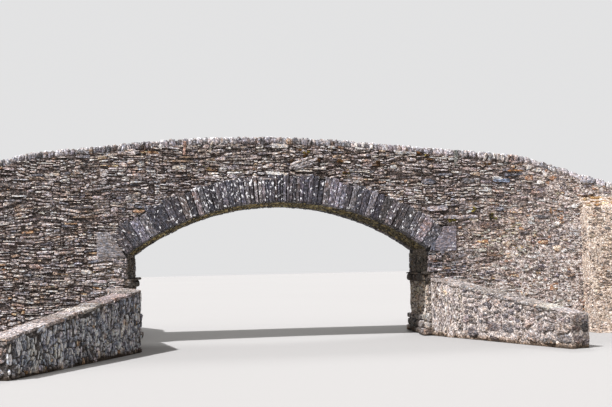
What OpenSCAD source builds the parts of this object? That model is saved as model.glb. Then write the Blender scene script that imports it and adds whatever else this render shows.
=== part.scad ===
// Packhorse bridge: one segmental arch of rubble masonry with a humped road,
// stone parapets, river walls at its four corners and battered buttresses.
// Millimetres, +Z up, +X along the road, -Y is the front face.
// The origin is on the base level, under the middle of the arch.

/* [Arch] */
// Clear span between the faces of the two abutments
span = 10000; // [7000:100:14000]
// Rise of the soffit above the springing line
rise = 1650; // [1200:50:2600]
// Height of the springing line above the base
springing_z = 2900; // [2500:50:4000]
// Depth of the arch ring, from soffit to back
ring_depth = 870; // [600:10:1100]
// How far the ring stones of each face reach into the vault
ring_length = 600; // [450:10:900]
// Ring stones in the crown stretch, an odd number
crown_stones = 27; // [15:2:35]
// Ring stones in each haunch stretch
haunch_stones = 15; // [9:1:21]
// Width of a crown stone as a share of the mean stone width
crown_stone_share = 0.67; // [0.5:0.01:1]
// Angle between the two joints that bound the crown stretch
crown_angle = 25; // [20:1:32]
// Open joint between neighbouring ring stones
joint_gap = 16; // [8:1:25]
// Least distance that a ring stone stands out of the wall face
head_out = 18; // [10:1:40]
// How much the ring stones differ in how far they stand out
head_out_spread = 26; // [0:1:50]
// How much the heads of the ring stones differ in length
head_length_spread = 90; // [0:5:160]
// How much the back of one head may slope along the ring
head_slant = 24; // [0:1:40]

/* [Bridge body] */
// Overall width across the two wall faces
bridge_w = 3200; // [2600:50:4500]
// Thickness of the side walls and of the parapets that they carry
wall_t = 400; // [300:10:550]
// Half the length of the bridge with its approaches
half_len = 12600; // [11000:100:16000]

/* [Abutments] */
// Thickness of each abutment behind its river face
abutment_t = 900; // [800:10:1500]
// How far the skewback stones reach below the springing line
quoin_drop = 110; // [60:10:200]
// Height of the top of the ledge above the base
ledge_z = 2100; // [1700:50:2300]
// Ledge stones on each abutment
ledge_count = 4; // [2:1:8]
// Thickness of the ledge stones
ledge_t = 300; // [180:10:400]
// How far the longest ledge stone stands out of the river face
ledge_out = 230; // [120:10:300]
// Footing stones on each abutment
footing_count = 5; // [3:1:9]
// Height of the tallest footing stone
footing_h = 640; // [400:10:900]
// How far the longest footing stone stands out of the river face
footing_out = 290; // [150:10:400]

/* [Road] */
// Road surface above the back of the ring at the middle of the arch
road_cover = 280; // [240:10:500]
// Thickness of the pitched paving
paving_t = 160; // [100:10:200]
// Distance from the middle of the arch to the top of the hump, left is negative
crown_shift = -1200; // [-1500:50:1500]
// Half the length over which the top of the hump is rounded
crown_round = 3600; // [2000:100:5000]
// Fall of the road on either side of the hump
road_fall = 0.09; // [0.04:0.01:0.14]
// Fall of the road on the end ramps
ramp_fall = 0.31; // [0.18:0.01:0.36]
// Distance from the middle of the arch to the start of the end ramps
ramp_start = 8200; // [7000:100:9500]
// Half the length over which the start of a ramp is rounded
ramp_round = 500; // [200:50:1200]

/* [Parapets] */
// Height of the parapet walls above the road
parapet_h = 780; // [500:10:1000]
// Height of the coping stones set on edge
coping_h = 210; // [150:10:300]
// How far the coping stones stand out of the parapet faces
coping_over = 25; // [0:5:50]
// Mean thickness of a coping stone along the wall
coping_pitch = 140; // [120:5:250]
// Depth of the notches between coping stones
coping_notch = 60; // [20:5:90]
// Share of its height by which a coping stone may be short
coping_uneven = 0.22; // [0:0.01:0.35]

/* [River walls] */
// Length of each flared river wall
wing_len = 6400; // [3000:100:8000]
// Angle of the flare away from the line of the river face
wing_flare = 22; // [10:1:35]
// Thickness of the river walls
wing_t = 620; // [450:10:800]
// Height of a flared wall where it starts
wing_near_z = 1880; // [1500:20:2100]
// Height of a flared wall where it ends
wing_far_z = 930; // [500:20:1200]
// Height of the left walls up to the corner where their flare starts
corner_z = 1770; // [1400:10:2100]
// Length of the straight stretch that leads into the left walls
lead_len = 3000; // [1500:100:4000]
// How far that stretch turns towards the river on the front, over its length
lead_in = 700; // [0:50:900]
// How far it turns away from the river on the back, over its length
lead_away = 300; // [100:50:900]

/* [Buttresses] */
// Distance from the middle of the arch to the near side of a buttress
buttress_x = 10250; // [9500:50:10800]
// Length of a buttress along the wall
buttress_w = 2100; // [1200:50:2300]
// Distance from the wall to the front edge of the cap
buttress_out = 420; // [250:10:600]
// Distance from the wall to the foot of a buttress
buttress_foot = 1000; // [600:10:1300]
// Height of the front edge of the cap
buttress_z = 4150; // [3600:50:4300]
// Height that the cap rises from its front edge to the wall
cap_rise = 380; // [200:10:500]

/* [Hidden] */

LEFT = -1;
RIGHT = 1;
FRONT = -1;
BACK = 1;
ARC_FN = 720;
FAR = 4 * half_len;

half_span = span / 2;
half_w = bridge_w / 2;
soffit_r = (half_span * half_span + rise * rise) / (2 * rise);
back_r = soffit_r + ring_depth;
centre_z = springing_z + rise - soffit_r;
half_angle = asin(half_span / soffit_r);
skew_x = back_r * sin(half_angle);
skew_z = centre_z + back_r * cos(half_angle);
pier_x = max(half_span + abutment_t, skew_x + joint_gap);
road_top_z = centre_z + back_r + road_cover;
ledge_under_z = ledge_z - ledge_t;
head_arris = 12;
bond = 40;
// Kinds that keep the repeatable values of different pieces apart
FOOTING_KIND = 3;
HEAD_LENGTH_KIND = 5;
HEAD_SLANT_KIND = 6;
HEAD_OUT_KIND = 8;
COPING_KIND = 10;
LEDGE_KIND = 17;
// Shares that shape the rough blocks: how far a joint may wander, the least reach and the least
// height of a block, the height of its shoulder and toe, and the reach of its foot
JOINT_WANDER = 0.35;
LEAST_REACH = 0.68;
LEAST_FOOTING = 0.62;
SHOULDER = 0.8;
TOE = 0.12;
FOOT_REACH = 0.7;
// Share of a coping stone that slopes at either end
COPING_SLOPE = 0.2;
station = half_len / 30;
stone_count = crown_stones + 2 * haunch_stones;
right_haunch = haunch_stones + crown_stones;
coping_count = round(half_len / coping_pitch);
coping_step = half_len / coping_count;
coping_low = parapet_h + coping_h * (1 - coping_uneven) - coping_notch;

// A repeatable value from 0 to 1 for stone i of kind k
function uneven(i, k) = let (v = abs(sin(i * 127.1 + k * 311.7)) * 43.758) v - floor(v);

// Height of the road at distance x from the middle of the arch: a smooth hump with ramps,
// followed by straight stretches from station to station
function hump(u) = u < crown_round ? road_fall * u * u / (2 * crown_round)
    : road_fall * (u - crown_round / 2);
function ramp(u) = u < -ramp_round ? 0
    : u > ramp_round ? (ramp_fall - road_fall) * u
    : (ramp_fall - road_fall) * pow(u + ramp_round, 2) / (4 * ramp_round);
function road_curve(x) = road_top_z - hump(abs(x - crown_shift)) - ramp(abs(x) - ramp_start);
function road_z(x) = let (i = floor(x / station), f = x / station - i)
    (1 - f) * road_curve(i * station) + f * road_curve((i + 1) * station);

// Points along the road from x0 up to x1, lifted by h, and the same points in reverse
function road_line(x0, x1, h) = [for (x = concat([x0],
    [for (i = [floor(x0 / station) + 1 : ceil(x1 / station) - 1]) i * station], [x1]))
    [x, road_z(x) + h]];
function reversed(list) = [for (i = [len(list) - 1 : -1 : 0]) list[i]];

// Angle from the crown of joint i of the ring, counted from the left springing
function haunch_joint(k) = let (t = k / haunch_stones, a = crown_angle / 2, b = half_angle,
    first = (crown_angle / crown_stones) / ((b - a) / haunch_stones))
    a + (b - a) * (first * t + (1 - first) * t * t);
function crown_joint(k) = let (t = 2 * k / crown_stones)
    crown_angle / 2 * (crown_stone_share * t + (1 - crown_stone_share) * t * t * t);
function joint_angle(i) = let (k = i - stone_count / 2, m = abs(k), s = k < 0 ? -1 : 1)
    s * (m > crown_stones / 2 ? haunch_joint(m - crown_stones / 2) : crown_joint(m));

// A point of the arch at radius r and angle a from the crown
function on_arch(r, a) = [r * sin(a), centre_z + r * cos(a)];

// Turns an outline drawn in X and Z into a slab from y0 to y1
module slab(y0, y1) {
    translate([0, y1, 0]) rotate([90, 0, 0]) linear_extrude(y1 - y0) children();
}

// A slab that lies between depths d0 and d1 behind the front or back face
module behind_face(face, d0, d1) {
    if (face == FRONT) slab(-half_w + d0, -half_w + d1) children();
    else slab(half_w - d1, half_w - d0) children();
}

// The part of the ring between the angles a0 and a1
module arch_sector(a0, a1) {
    intersection() {
        difference() {
            translate([0, centre_z]) circle(back_r, $fn = ARC_FN);
            translate([0, centre_z]) circle(soffit_r, $fn = ARC_FN);
        }
        polygon([[0, centre_z], on_arch(2 * back_r, a0), on_arch(2 * back_r, a1)]);
    }
}

// Points of the road line on one side, between distances u0 and u1 from the middle
function side_line(side, u0, u1, h) = side == RIGHT ? reversed(road_line(u0, u1, h))
    : road_line(-u1, -u0, h);

// Masonry over one haunch of the arch, up to h above the road
module haunch_body(side, h) {
    difference() {
        polygon(concat([[0, skew_z], [side * pier_x, skew_z]], side_line(side, 0, pier_x, h)));
        translate([0, centre_z]) circle(back_r, $fn = ARC_FN);
    }
}

// Masonry behind one abutment, from the base up to h above the road
module approach_body(side, h) {
    polygon(concat([[side * pier_x, 0], [side * half_len, 0]],
        side_line(side, pier_x, half_len, h)));
}

// A band that follows the whole road, between heights h0 and h1
module road_band(h0, h1) {
    polygon(concat(road_line(-half_len, half_len, h0),
        reversed(road_line(-half_len, half_len, h1))));
}

// Rough blocks laid side by side across an abutment, each with its own reach and top,
// and a tail of the given length into the masonry behind them
module block_course(side, count, out, z0, h, tail, k) {
    function cut(i) = -half_w + bridge_w * (i == 0 ? 0 : i == count ? 1
        : (i + JOINT_WANDER * (uneven(i, k) - 0.5)) / count);
    for (i = [0 : count - 1]) {
        reach = out * (LEAST_REACH + (1 - LEAST_REACH) * uneven(i, k + 1));
        top = h[0] + (h[1] - h[0]) * uneven(i, k + 2);
        slab(cut(i) - (i > 0 ? bond : 0), cut(i + 1))
            scale([side, 1]) translate([half_span, z0])
            polygon(concat(tail > 0 ? [[tail, 0], [tail, top]] : [[0, 0]],
                [[0, top], [-reach, SHOULDER * top], [-reach, TOE * top], [-FOOT_REACH * reach, 0]]));
    }
}

module footings() {
    for (side = [LEFT, RIGHT])
        color("dimgray") block_course(side, footing_count, footing_out, 0,
            [LEAST_FOOTING * footing_h, footing_h], 0, FOOTING_KIND + side);
}

module abutment(side) {
    color("rosybrown") slab(-half_w, half_w) scale([side, 1])
        translate([half_span, 0]) square([pier_x - half_span, ledge_under_z]);
}

module ledge(side) {
    color("gray") block_course(side, ledge_count, ledge_out, ledge_under_z,
        [ledge_t, ledge_t], pier_x - half_span, LEDGE_KIND);
}

// The five-sided outline of a skewback stone
module skewback_outline() {
    polygon([[half_span, springing_z - quoin_drop], [half_span, springing_z],
        [skew_x, skew_z], [pier_x, skew_z], [pier_x, springing_z - quoin_drop]]);
}

module springer_wall(side) {
    color("tan") {
        slab(-half_w, half_w) scale([side, 1]) translate([half_span, ledge_z])
            square([pier_x - half_span, springing_z - quoin_drop - ledge_z]);
        slab(-half_w + ring_length, half_w - ring_length) scale([side, 1]) skewback_outline();
    }
}

module skewback(face, side) {
    color("lightslategray") behind_face(face, 0, ring_length) scale([side, 1]) skewback_outline();
}

module vault(first, last) {
    color("peru") slab(-half_w + ring_length, half_w - ring_length)
        arch_sector(joint_angle(first), joint_angle(last));
}

// The outline of ring stone i where it stands out of the wall face: a wedge with its own
// length, between open joints and within the soffit and the back of the ring
module head_outline(i) {
    gap = joint_gap / 2 / (soffit_r + ring_depth / 2) * 180 / PI;
    a0 = joint_angle(i) + gap;
    a1 = joint_angle(i + 1) - gap;
    r = back_r - head_arris - head_length_spread * uneven(i, HEAD_LENGTH_KIND);
    slant = head_slant * uneven(i, HEAD_SLANT_KIND);
    polygon([on_arch(soffit_r + head_arris, a0), on_arch(soffit_r + head_arris, a1),
        on_arch(r, a1), on_arch(r - slant, a0)]);
}

// Ring stones first to last of one face: a band with a wedge-shaped head on each stone
module ring(face, first, last) {
    color("slategray") {
        behind_face(face, 0, ring_length) arch_sector(joint_angle(first), joint_angle(last));
        for (i = [first : last - 1]) {
            out = head_out + head_out_spread * uneven(i, face + HEAD_OUT_KIND);
            behind_face(face, -out, bond) head_outline(i);
        }
    }
}

module spandrel(face, side) {
    color("darkgray") behind_face(face, 0, wall_t) haunch_body(side, 0);
}

module approach_wall(face, side) {
    color("darkgray") behind_face(face, 0, wall_t) approach_body(side, 0);
}

module haunch_fill(side) {
    color("sienna") slab(-half_w + wall_t, half_w - wall_t) haunch_body(side, -paving_t);
}

module approach_fill(side) {
    color("sienna") slab(-half_w + wall_t, half_w - wall_t) approach_body(side, -paving_t);
}

module road() {
    color("darkkhaki") slab(-half_w + wall_t, half_w - wall_t) road_band(-paving_t, 0);
}

module parapet(face) {
    color("silver") behind_face(face, 0, wall_t) road_band(0, parapet_h);
}

// Top edge of coping stone i: two corners of its own height beside a shallow notch
function coping_stone(i, k) = let (x0 = coping_step * i, x1 = coping_step * (i + 1),
    top = parapet_h + coping_h * (1 - coping_uneven * uneven(i, k)),
    drop = COPING_SLOPE * coping_notch * uneven(i, k + 1))
    [[x0, road_z(x0) + coping_low], [x0 + COPING_SLOPE * (x1 - x0), road_z(x0) + top],
    [x1 - COPING_SLOPE * (x1 - x0), road_z(x1) + top - drop]];

module coping(face) {
    tops = [for (i = [-coping_count : coping_count - 1], p = coping_stone(i, COPING_KIND + face)) p];
    color("gainsboro") behind_face(face, -coping_over, wall_t + coping_over)
        polygon(concat(tops, [[half_len, road_z(half_len) + coping_low]],
            reversed(road_line(-half_len, half_len, parapet_h))));
}

// A straight river wall that runs along -Y from the origin, with its river face at x = 0,
// a top that slopes from h0 to h1 and a tail of the given length behind its start
module wall_run(len, h0, h1, tail) {
    rotate([90, 0, 90]) linear_extrude(wing_t)
        polygon([[tail, 0], [tail, h0], [0, h0], [-len, h1], [-len, 0]]);
}

// The river walls of one corner: a flared wall, with a level lead into it on the left side
module river_wall(face, side) {
    lead = side == LEFT ? lead_len : 0;
    toe = side == RIGHT ? 0 : face == FRONT ? lead_in : -lead_away;
    start_z = side == LEFT ? corner_z : wing_near_z;
    color("darkgray") scale([side, -face, 1]) intersection() {
        union() {
            if (lead > 0) translate([half_span, -half_w, 0]) rotate(-atan2(toe, lead))
                wall_run(norm([lead, toe]), corner_z, corner_z, wing_t);
            translate([half_span - toe, -half_w - lead, 0]) rotate(wing_flare)
                wall_run(wing_len, start_z, wing_far_z, 0);
        }
        translate([0, -half_w - FAR, 0]) cube([FAR, FAR, FAR]);
    }
}

module buttress(face, side) {
    color("wheat") scale([side, -face, 1]) translate([buttress_x, -half_w, 0])
        rotate([90, 0, 90]) linear_extrude(buttress_w)
            polygon([[-buttress_foot, 0], [0, 0], [0, buttress_z + cap_rise],
                [-buttress_out, buttress_z]]);
}

footings();
abutment(LEFT);  // abutment_left
abutment(RIGHT);  // abutment_right
ledge(LEFT);  // ledge_left
ledge(RIGHT);  // ledge_right
springer_wall(LEFT);  // springer_wall_left
springer_wall(RIGHT);  // springer_wall_right
skewback(FRONT, LEFT);  // skewback_front_left
skewback(FRONT, RIGHT);  // skewback_front_right
skewback(BACK, LEFT);  // skewback_back_left
skewback(BACK, RIGHT);  // skewback_back_right
vault(0, haunch_stones);  // vault_left
vault(haunch_stones, right_haunch);  // vault_crown
vault(right_haunch, stone_count);  // vault_right
ring(FRONT, 0, haunch_stones);  // ring_front_left
ring(FRONT, haunch_stones, right_haunch);  // ring_front_crown
ring(FRONT, right_haunch, stone_count);  // ring_front_right
ring(BACK, 0, haunch_stones);  // ring_back_left
ring(BACK, haunch_stones, right_haunch);  // ring_back_crown
ring(BACK, right_haunch, stone_count);  // ring_back_right
spandrel(FRONT, LEFT);  // spandrel_front_left
spandrel(FRONT, RIGHT);  // spandrel_front_right
spandrel(BACK, LEFT);  // spandrel_back_left
spandrel(BACK, RIGHT);  // spandrel_back_right
approach_wall(FRONT, LEFT);  // approach_wall_front_left
approach_wall(FRONT, RIGHT);  // approach_wall_front_right
approach_wall(BACK, LEFT);  // approach_wall_back_left
approach_wall(BACK, RIGHT);  // approach_wall_back_right
haunch_fill(LEFT);  // haunch_fill_left
haunch_fill(RIGHT);  // haunch_fill_right
approach_fill(LEFT);  // approach_fill_left
approach_fill(RIGHT);  // approach_fill_right
road();
parapet(FRONT);  // parapet_front
parapet(BACK);  // parapet_back
coping(FRONT);  // coping_front
coping(BACK);  // coping_back
river_wall(FRONT, LEFT);  // river_wall_front_left
river_wall(FRONT, RIGHT);  // river_wall_front_right
river_wall(BACK, LEFT);  // river_wall_back_left
river_wall(BACK, RIGHT);  // river_wall_back_right
buttress(FRONT, LEFT);  // buttress_front_left
buttress(FRONT, RIGHT);  // buttress_front_right
buttress(BACK, LEFT);  // buttress_back_left
buttress(BACK, RIGHT);  // buttress_back_right
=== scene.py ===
"""Looks of the packhorse bridge, laid on the CAD part. Metres, +Z up, +X along the road, -Y is the
front face. Each stone is a mesh of its own, bedded in the CAD walls, which show between the
stones as mortar."""

import math

import bpy
import numpy as np
from mathutils import Matrix


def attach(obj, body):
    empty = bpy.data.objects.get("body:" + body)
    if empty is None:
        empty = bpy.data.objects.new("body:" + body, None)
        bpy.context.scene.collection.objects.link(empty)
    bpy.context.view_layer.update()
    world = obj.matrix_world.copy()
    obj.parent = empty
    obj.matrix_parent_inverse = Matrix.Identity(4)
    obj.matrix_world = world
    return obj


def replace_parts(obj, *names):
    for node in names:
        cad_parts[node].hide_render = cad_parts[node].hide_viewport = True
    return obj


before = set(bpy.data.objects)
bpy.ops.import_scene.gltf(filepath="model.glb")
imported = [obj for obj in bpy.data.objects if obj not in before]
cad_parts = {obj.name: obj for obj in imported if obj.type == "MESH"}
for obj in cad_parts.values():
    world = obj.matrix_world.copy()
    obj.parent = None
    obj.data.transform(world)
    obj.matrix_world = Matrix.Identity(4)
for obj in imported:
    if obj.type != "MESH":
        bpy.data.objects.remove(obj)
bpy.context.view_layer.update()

# ---------------------------------------------------------------- sizes, the same as the part's source
HALF_SPAN, RISE, SPRING_Z, RING_T, RING_Y = 5.0, 1.65, 2.9, 0.87, 0.6
CROWN_STONES, HAUNCH_STONES, CROWN_SHARE, CROWN_ANGLE = 27, 15, 0.67, 25.0
HALF_W, WALL_T, HALF_LEN, PIER_X = 1.6, 0.4, 12.6, 5.9
QUOIN_Z, LEDGE_Z, LEDGE_T, LEDGE_OUT, FOOTING_H, FOOTING_OUT = 2.79, 2.1, 0.3, 0.23, 0.64, 0.29
CROWN_SHIFT, CROWN_ROUND, FALL, RAMP_FALL, RAMP_START, RAMP_ROUND = -1.2, 3.6, 0.09, 0.31, 8.2, 0.5
PARAPET_H, COPING_H = 0.78, 0.21
WING_LEN, WING_FLARE, WING_T, WING_NEAR, WING_FAR, LEAD_LEN, LEAD_IN, LEAD_AWAY, CORNER_Z = 6.4, 22.0, 0.62, 1.88, 0.93, 3.0, 0.7, 0.3, 1.77
BUTT_X, BUTT_W, BUTT_OUT, BUTT_FOOT, BUTT_Z, CAP_RISE = 10.25, 2.1, 0.42, 1.0, 4.15, 0.38
R_IN = (HALF_SPAN**2 + RISE**2) / (2 * RISE)
R_OUT = R_IN + RING_T
ARC_Z = SPRING_Z + RISE - R_IN
ARC_HALF = math.degrees(math.asin(HALF_SPAN / R_IN))
SKEW_X = R_OUT * math.sin(math.radians(ARC_HALF))
SKEW_Z = ARC_Z + R_OUT * math.cos(math.radians(ARC_HALF))
ROAD_TOP = ARC_Z + R_OUT + 0.28
STONES = CROWN_STONES + 2 * HAUNCH_STONES


def road_curve(x):
    u = abs(x - CROWN_SHIFT)
    hump = np.where(u < CROWN_ROUND, FALL * u * u / (2 * CROWN_ROUND), FALL * (u - CROWN_ROUND / 2))
    v, k = abs(x) - RAMP_START, RAMP_FALL - FALL
    ramp = np.where(v < -RAMP_ROUND, 0, np.where(v > RAMP_ROUND, k * v, k * (v + RAMP_ROUND) ** 2 / (4 * RAMP_ROUND)))
    return ROAD_TOP - hump - ramp


STATIONS = np.linspace(-HALF_LEN, HALF_LEN, 61)
ROAD_AT = road_curve(STATIONS)


def road(x):
    return np.interp(x, STATIONS, ROAD_AT)


def uneven(i, k):
    v = abs(math.sin(math.radians(i * 127.1 + k * 311.7))) * 43.758
    return v - math.floor(v)


def joint_angle(i):
    k = i - STONES / 2
    m, s = abs(k), (-1 if k < 0 else 1)
    a = CROWN_ANGLE / 2
    if m > CROWN_STONES / 2:
        t = (m - CROWN_STONES / 2) / HAUNCH_STONES
        first = (CROWN_ANGLE / CROWN_STONES) / ((ARC_HALF - a) / HAUNCH_STONES)
        return s * (a + (ARC_HALF - a) * (first * t + (1 - first) * t * t))
    t = 2 * m / CROWN_STONES
    return s * a * (CROWN_SHARE * t + (1 - CROWN_SHARE) * t**3)


# ---------------------------------------------------------------- repeatable noise
def lattice(i, j, k, seed):
    n = (i * 374761393 + j * 668265263 + k * 1440662683 + seed * 1274126177) & 0xFFFFFFFF
    n = ((n ^ (n >> 13)) * 1274126177) & 0xFFFFFFFF
    return ((n ^ (n >> 16)) & 0xFFFF) / 65535.0


def noise(p, scale, seed):
    """Smooth noise from -1 to 1 at the points p."""
    q = np.asarray(p, float) * scale + 1000.0
    i = np.floor(q).astype(np.int64)
    f = q - i
    f = f * f * (3 - 2 * f)
    total = 0.0
    for dx in (0, 1):
        wx = f[..., 0] if dx else 1 - f[..., 0]
        for dy in (0, 1):
            wy = f[..., 1] if dy else 1 - f[..., 1]
            for dz in (0, 1):
                wz = f[..., 2] if dz else 1 - f[..., 2]
                total = total + wx * wy * wz * lattice(i[..., 0] + dx, i[..., 1] + dy, i[..., 2] + dz, seed)
    return total * 2 - 1


def smooth_step(v, a, b):
    t = np.clip((v - a) / (b - a), 0, 1)
    return t * t * (3 - 2 * t)


def noise3(p, scale, seed):
    return np.stack([noise(p, scale, seed + k) for k in range(3)], -1)


# ---------------------------------------------------------------- meshes
class Heap:
    """Stones gathered into one mesh, each with its own tint and its own grain coordinates."""

    def __init__(self):
        self.co, self.faces, self.tint, self.grain, self.count = [], {3: [], 4: []}, [], [], 0

    def add(self, co, quads, tris, tint, grain):
        """co, tint (4 values) and grain: one row a vertex."""
        for size, faces in ((4, quads), (3, tris)):
            if len(faces):
                self.faces[size].append(np.asarray(faces) + self.count)
        self.co.append(co)
        self.tint.append(tint)
        self.grain.append(grain)
        self.count += len(co)

    def clamp(self, level):
        """Nothing added so far reaches below a level."""
        for co in self.co:
            co[:, 2] = np.maximum(co[:, 2], level)

    def mesh(self, name, material, slot, smooth=False):
        co = np.concatenate(self.co)
        quads = np.concatenate(self.faces[4]) if self.faces[4] else np.zeros((0, 4), int)
        tris = np.concatenate(self.faces[3]) if self.faces[3] else np.zeros((0, 3), int)
        loops = np.concatenate([quads.ravel(), tris.ravel()]).astype(np.int32)
        totals = np.concatenate([np.full(len(quads), 4), np.full(len(tris), 3)]).astype(np.int32)
        starts = np.concatenate([[0], np.cumsum(totals)[:-1]]).astype(np.int32)
        mesh = bpy.data.meshes.new(name)
        mesh.vertices.add(len(co))
        mesh.vertices.foreach_set("co", co.astype(np.float32).ravel())
        mesh.loops.add(len(loops))
        mesh.loops.foreach_set("vertex_index", loops)
        mesh.polygons.add(len(totals))
        mesh.polygons.foreach_set("loop_start", starts)
        mesh.polygons.foreach_set("loop_total", totals)
        mesh.polygons.foreach_set("use_smooth", np.full(len(totals), smooth))
        tint = mesh.attributes.new("tint", "FLOAT_COLOR", "POINT")
        tint.data.foreach_set("color", np.concatenate(self.tint).astype(np.float32).ravel())
        grain = mesh.attributes.new("grain", "FLOAT_VECTOR", "POINT")
        grain.data.foreach_set("vector", np.concatenate(self.grain).astype(np.float32).ravel())
        mesh.update(calc_edges=True)
        mesh.materials.append(material)
        piece = bpy.data.objects.new(name, mesh)
        bpy.context.scene.collection.objects.link(piece)
        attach(piece, "root")
        TRIANGLES[name] = 2 * len(quads) + len(tris)
        return piece


TRIANGLES = {}


# ---------------------------------------------------------------- places for flat work
def plane(origin, u_axis, v_axis, mirror=(1, 1)):
    """A map from (u, v, height) on a plane to the row frame. mirror flips X or Y afterwards."""
    o, u_axis, v_axis = (np.array(a, float) for a in (origin, u_axis, v_axis))
    normal = np.cross(u_axis, v_axis)
    flip = np.array([mirror[0], mirror[1], 1.0])

    def place(u, v, n):
        return (o + u[..., None] * u_axis + v[..., None] * v_axis + n[..., None] * normal) * flip

    place.flip, place.front = mirror[0] * mirror[1] < 0, normal[1] < -0.5
    return place


def soffit_place(u, v, n):
    """u runs along +Y, v along the arc from the crown, n into the arch."""
    a = v / R_IN
    r = R_IN - n
    return np.stack([r * np.sin(a), u, ARC_Z + r * np.cos(a)], -1)


soffit_place.flip, soffit_place.front = False, False


# ---------------------------------------------------------------- laying of rubble
def lay(rng, u0, u1, foot, top, size, snap=0.014, least=0.09, bridge=0.012):
    """Fills a wall from foot(u) to top(u) with stones, each set on the lowest free bed as a mason
    would. size(rng, u, v) gives a width and a height, and steps under bridge are laid over.
    Returns rows of u0, u1, v0, v1."""
    count = max(2, round((u1 - u0) / 0.28))
    edges = np.linspace(u0, u1, count + 1)

    def run(a, b, level):
        return [a, b, level, float(top((a + b) / 2))]

    line = [run(edges[i], edges[i + 1], float(foot((edges[i] + edges[i + 1]) / 2))) for i in range(count)]
    cells = []
    while True:
        i = min((k for k, s in enumerate(line) if s[2] < s[3]), key=lambda k: line[k][2], default=None)
        if i is None:
            return np.array(cells)
        a, b, level, _ = line[i]
        left = line[i - 1][2] if i > 0 else math.inf
        right = line[i + 1][2] if i + 1 < len(line) else math.inf
        w, h = size(rng, (a + b) / 2, level)
        room = b - a
        if room < least:
            w, h = room, min(max(min(left, right) - level, 0.03), 0.2)
        else:
            if room - w < least:
                w = room if room < 1.45 * w else room * rng.uniform(0.4, 0.6)
            for near in (left, right):
                if abs(level + h - near) < snap:
                    h = near - level
        at_left = rng.random() < (0.7 if left > right else 0.3)
        x0, x1 = (a, a + w) if at_left else (b - w, b)
        if w > 0.03:
            cells.append((x0, x1, level, level + h))
        fresh = []
        if x0 - a > 1e-6:
            fresh.append(run(a, x0, level))
        fresh.append(run(x0, x1, level + h))
        if b - x1 > 1e-6:
            fresh.append(run(x1, b, level))
        line[i : i + 1] = fresh
        k = max(1, i - 1)
        while k < min(len(line), i + 4):
            if abs(line[k][2] - line[k - 1][2]) < bridge:
                line[k - 1 : k + 1] = [run(line[k - 1][0], line[k][1], max(line[k][2], line[k - 1][2]))]
            else:
                k += 1


def corners_of(rng, cells, foot, top, gap=(0.003, 0.019), wave=0.055, skew=0.14, turn=0.08, taper=0.6):
    """Corners of the laid stones, with wavy beds and uneven ends: an array of n, 4, 2."""
    u0, u1, v0, v1 = cells.T
    n = len(cells)
    end0, end1 = u0.min(), u1.max()
    g = rng.uniform(gap[0], gap[1], (n, 4)) / 2
    c = np.stack([np.stack([u0, v0], -1), np.stack([u1, v0], -1), np.stack([u1, v1], -1), np.stack([u0, v1], -1)], 1)
    p = np.concatenate([c, np.zeros((n, 4, 1))], -1)
    c[..., 0] += wave * noise(p, 1.9, 11) + 0.5 * wave * noise(p, 5.0, 12)
    c[..., 1] += wave * (1.3 * noise(p * [1, 1.6, 1], 0.9, 13) + 0.3 * noise(p, 2.6, 15) + 0.4 * noise(p, 5.0, 14))
    h = (v1 - v0)[:, None]
    lift = np.clip(rng.normal(0, turn, n) * (u1 - u0), -0.4 * h[:, 0], 0.4 * h[:, 0])
    c[..., 1] += lift[:, None] * np.array([-0.5, 0.5, 0.5, -0.5])
    # each end is thinner than the middle of the stone by a share of its own
    thin, low = rng.uniform(0, taper, (n, 2)) ** 1.5 * h, rng.random((n, 2))
    c[:, 0, 1] += thin[:, 0] * low[:, 0]
    c[:, 3, 1] -= thin[:, 0] * (1 - low[:, 0])
    c[:, 1, 1] += thin[:, 1] * low[:, 1]
    c[:, 2, 1] -= thin[:, 1] * (1 - low[:, 1])
    c[..., 0] += rng.normal(0, 1, (n, 4)) * h * skew
    c[..., 1] += rng.normal(0, 1, (n, 4)) * h * 0.5 * skew
    c[..., 0] += 0.4 * g * np.array([1, -1, -1, 1])
    c[..., 1] += g * np.array([1, 1, -1, -1])
    c[..., 0] = np.clip(c[..., 0], end0, end1)
    level = c[..., 1].copy()
    c[..., 1] = np.clip(c[..., 1], foot(c[..., 0]), top(c[..., 0]))
    drawn = np.abs(c[..., 1] - level).max(1)
    c[:, 2, 1] = np.maximum(c[:, 2, 1], c[:, 1, 1] + 0.012)
    c[:, 3, 1] = np.maximum(c[:, 3, 1], c[:, 0, 1] + 0.012)
    c[:, 1, 0] = np.maximum(c[:, 1, 0], c[:, 0, 0] + 0.02)
    c[:, 2, 0] = np.maximum(c[:, 2, 0], c[:, 3, 0] + 0.02)
    size = (c[:, 2] + c[:, 1] - c[:, 3] - c[:, 0])[:, 0] / 2 * (c[:, 2] + c[:, 3] - c[:, 0] - c[:, 1])[:, 1] / 2
    keep = (size > 0.0009) & (np.minimum(c[:, 2, 1] - c[:, 1, 1], c[:, 3, 1] - c[:, 0, 1]) > 0.011)
    keep &= (np.maximum(c[:, 2, 1] - c[:, 1, 1], c[:, 3, 1] - c[:, 0, 1]) > 0.025) & (drawn < 0.25)
    return c[keep]


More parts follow.
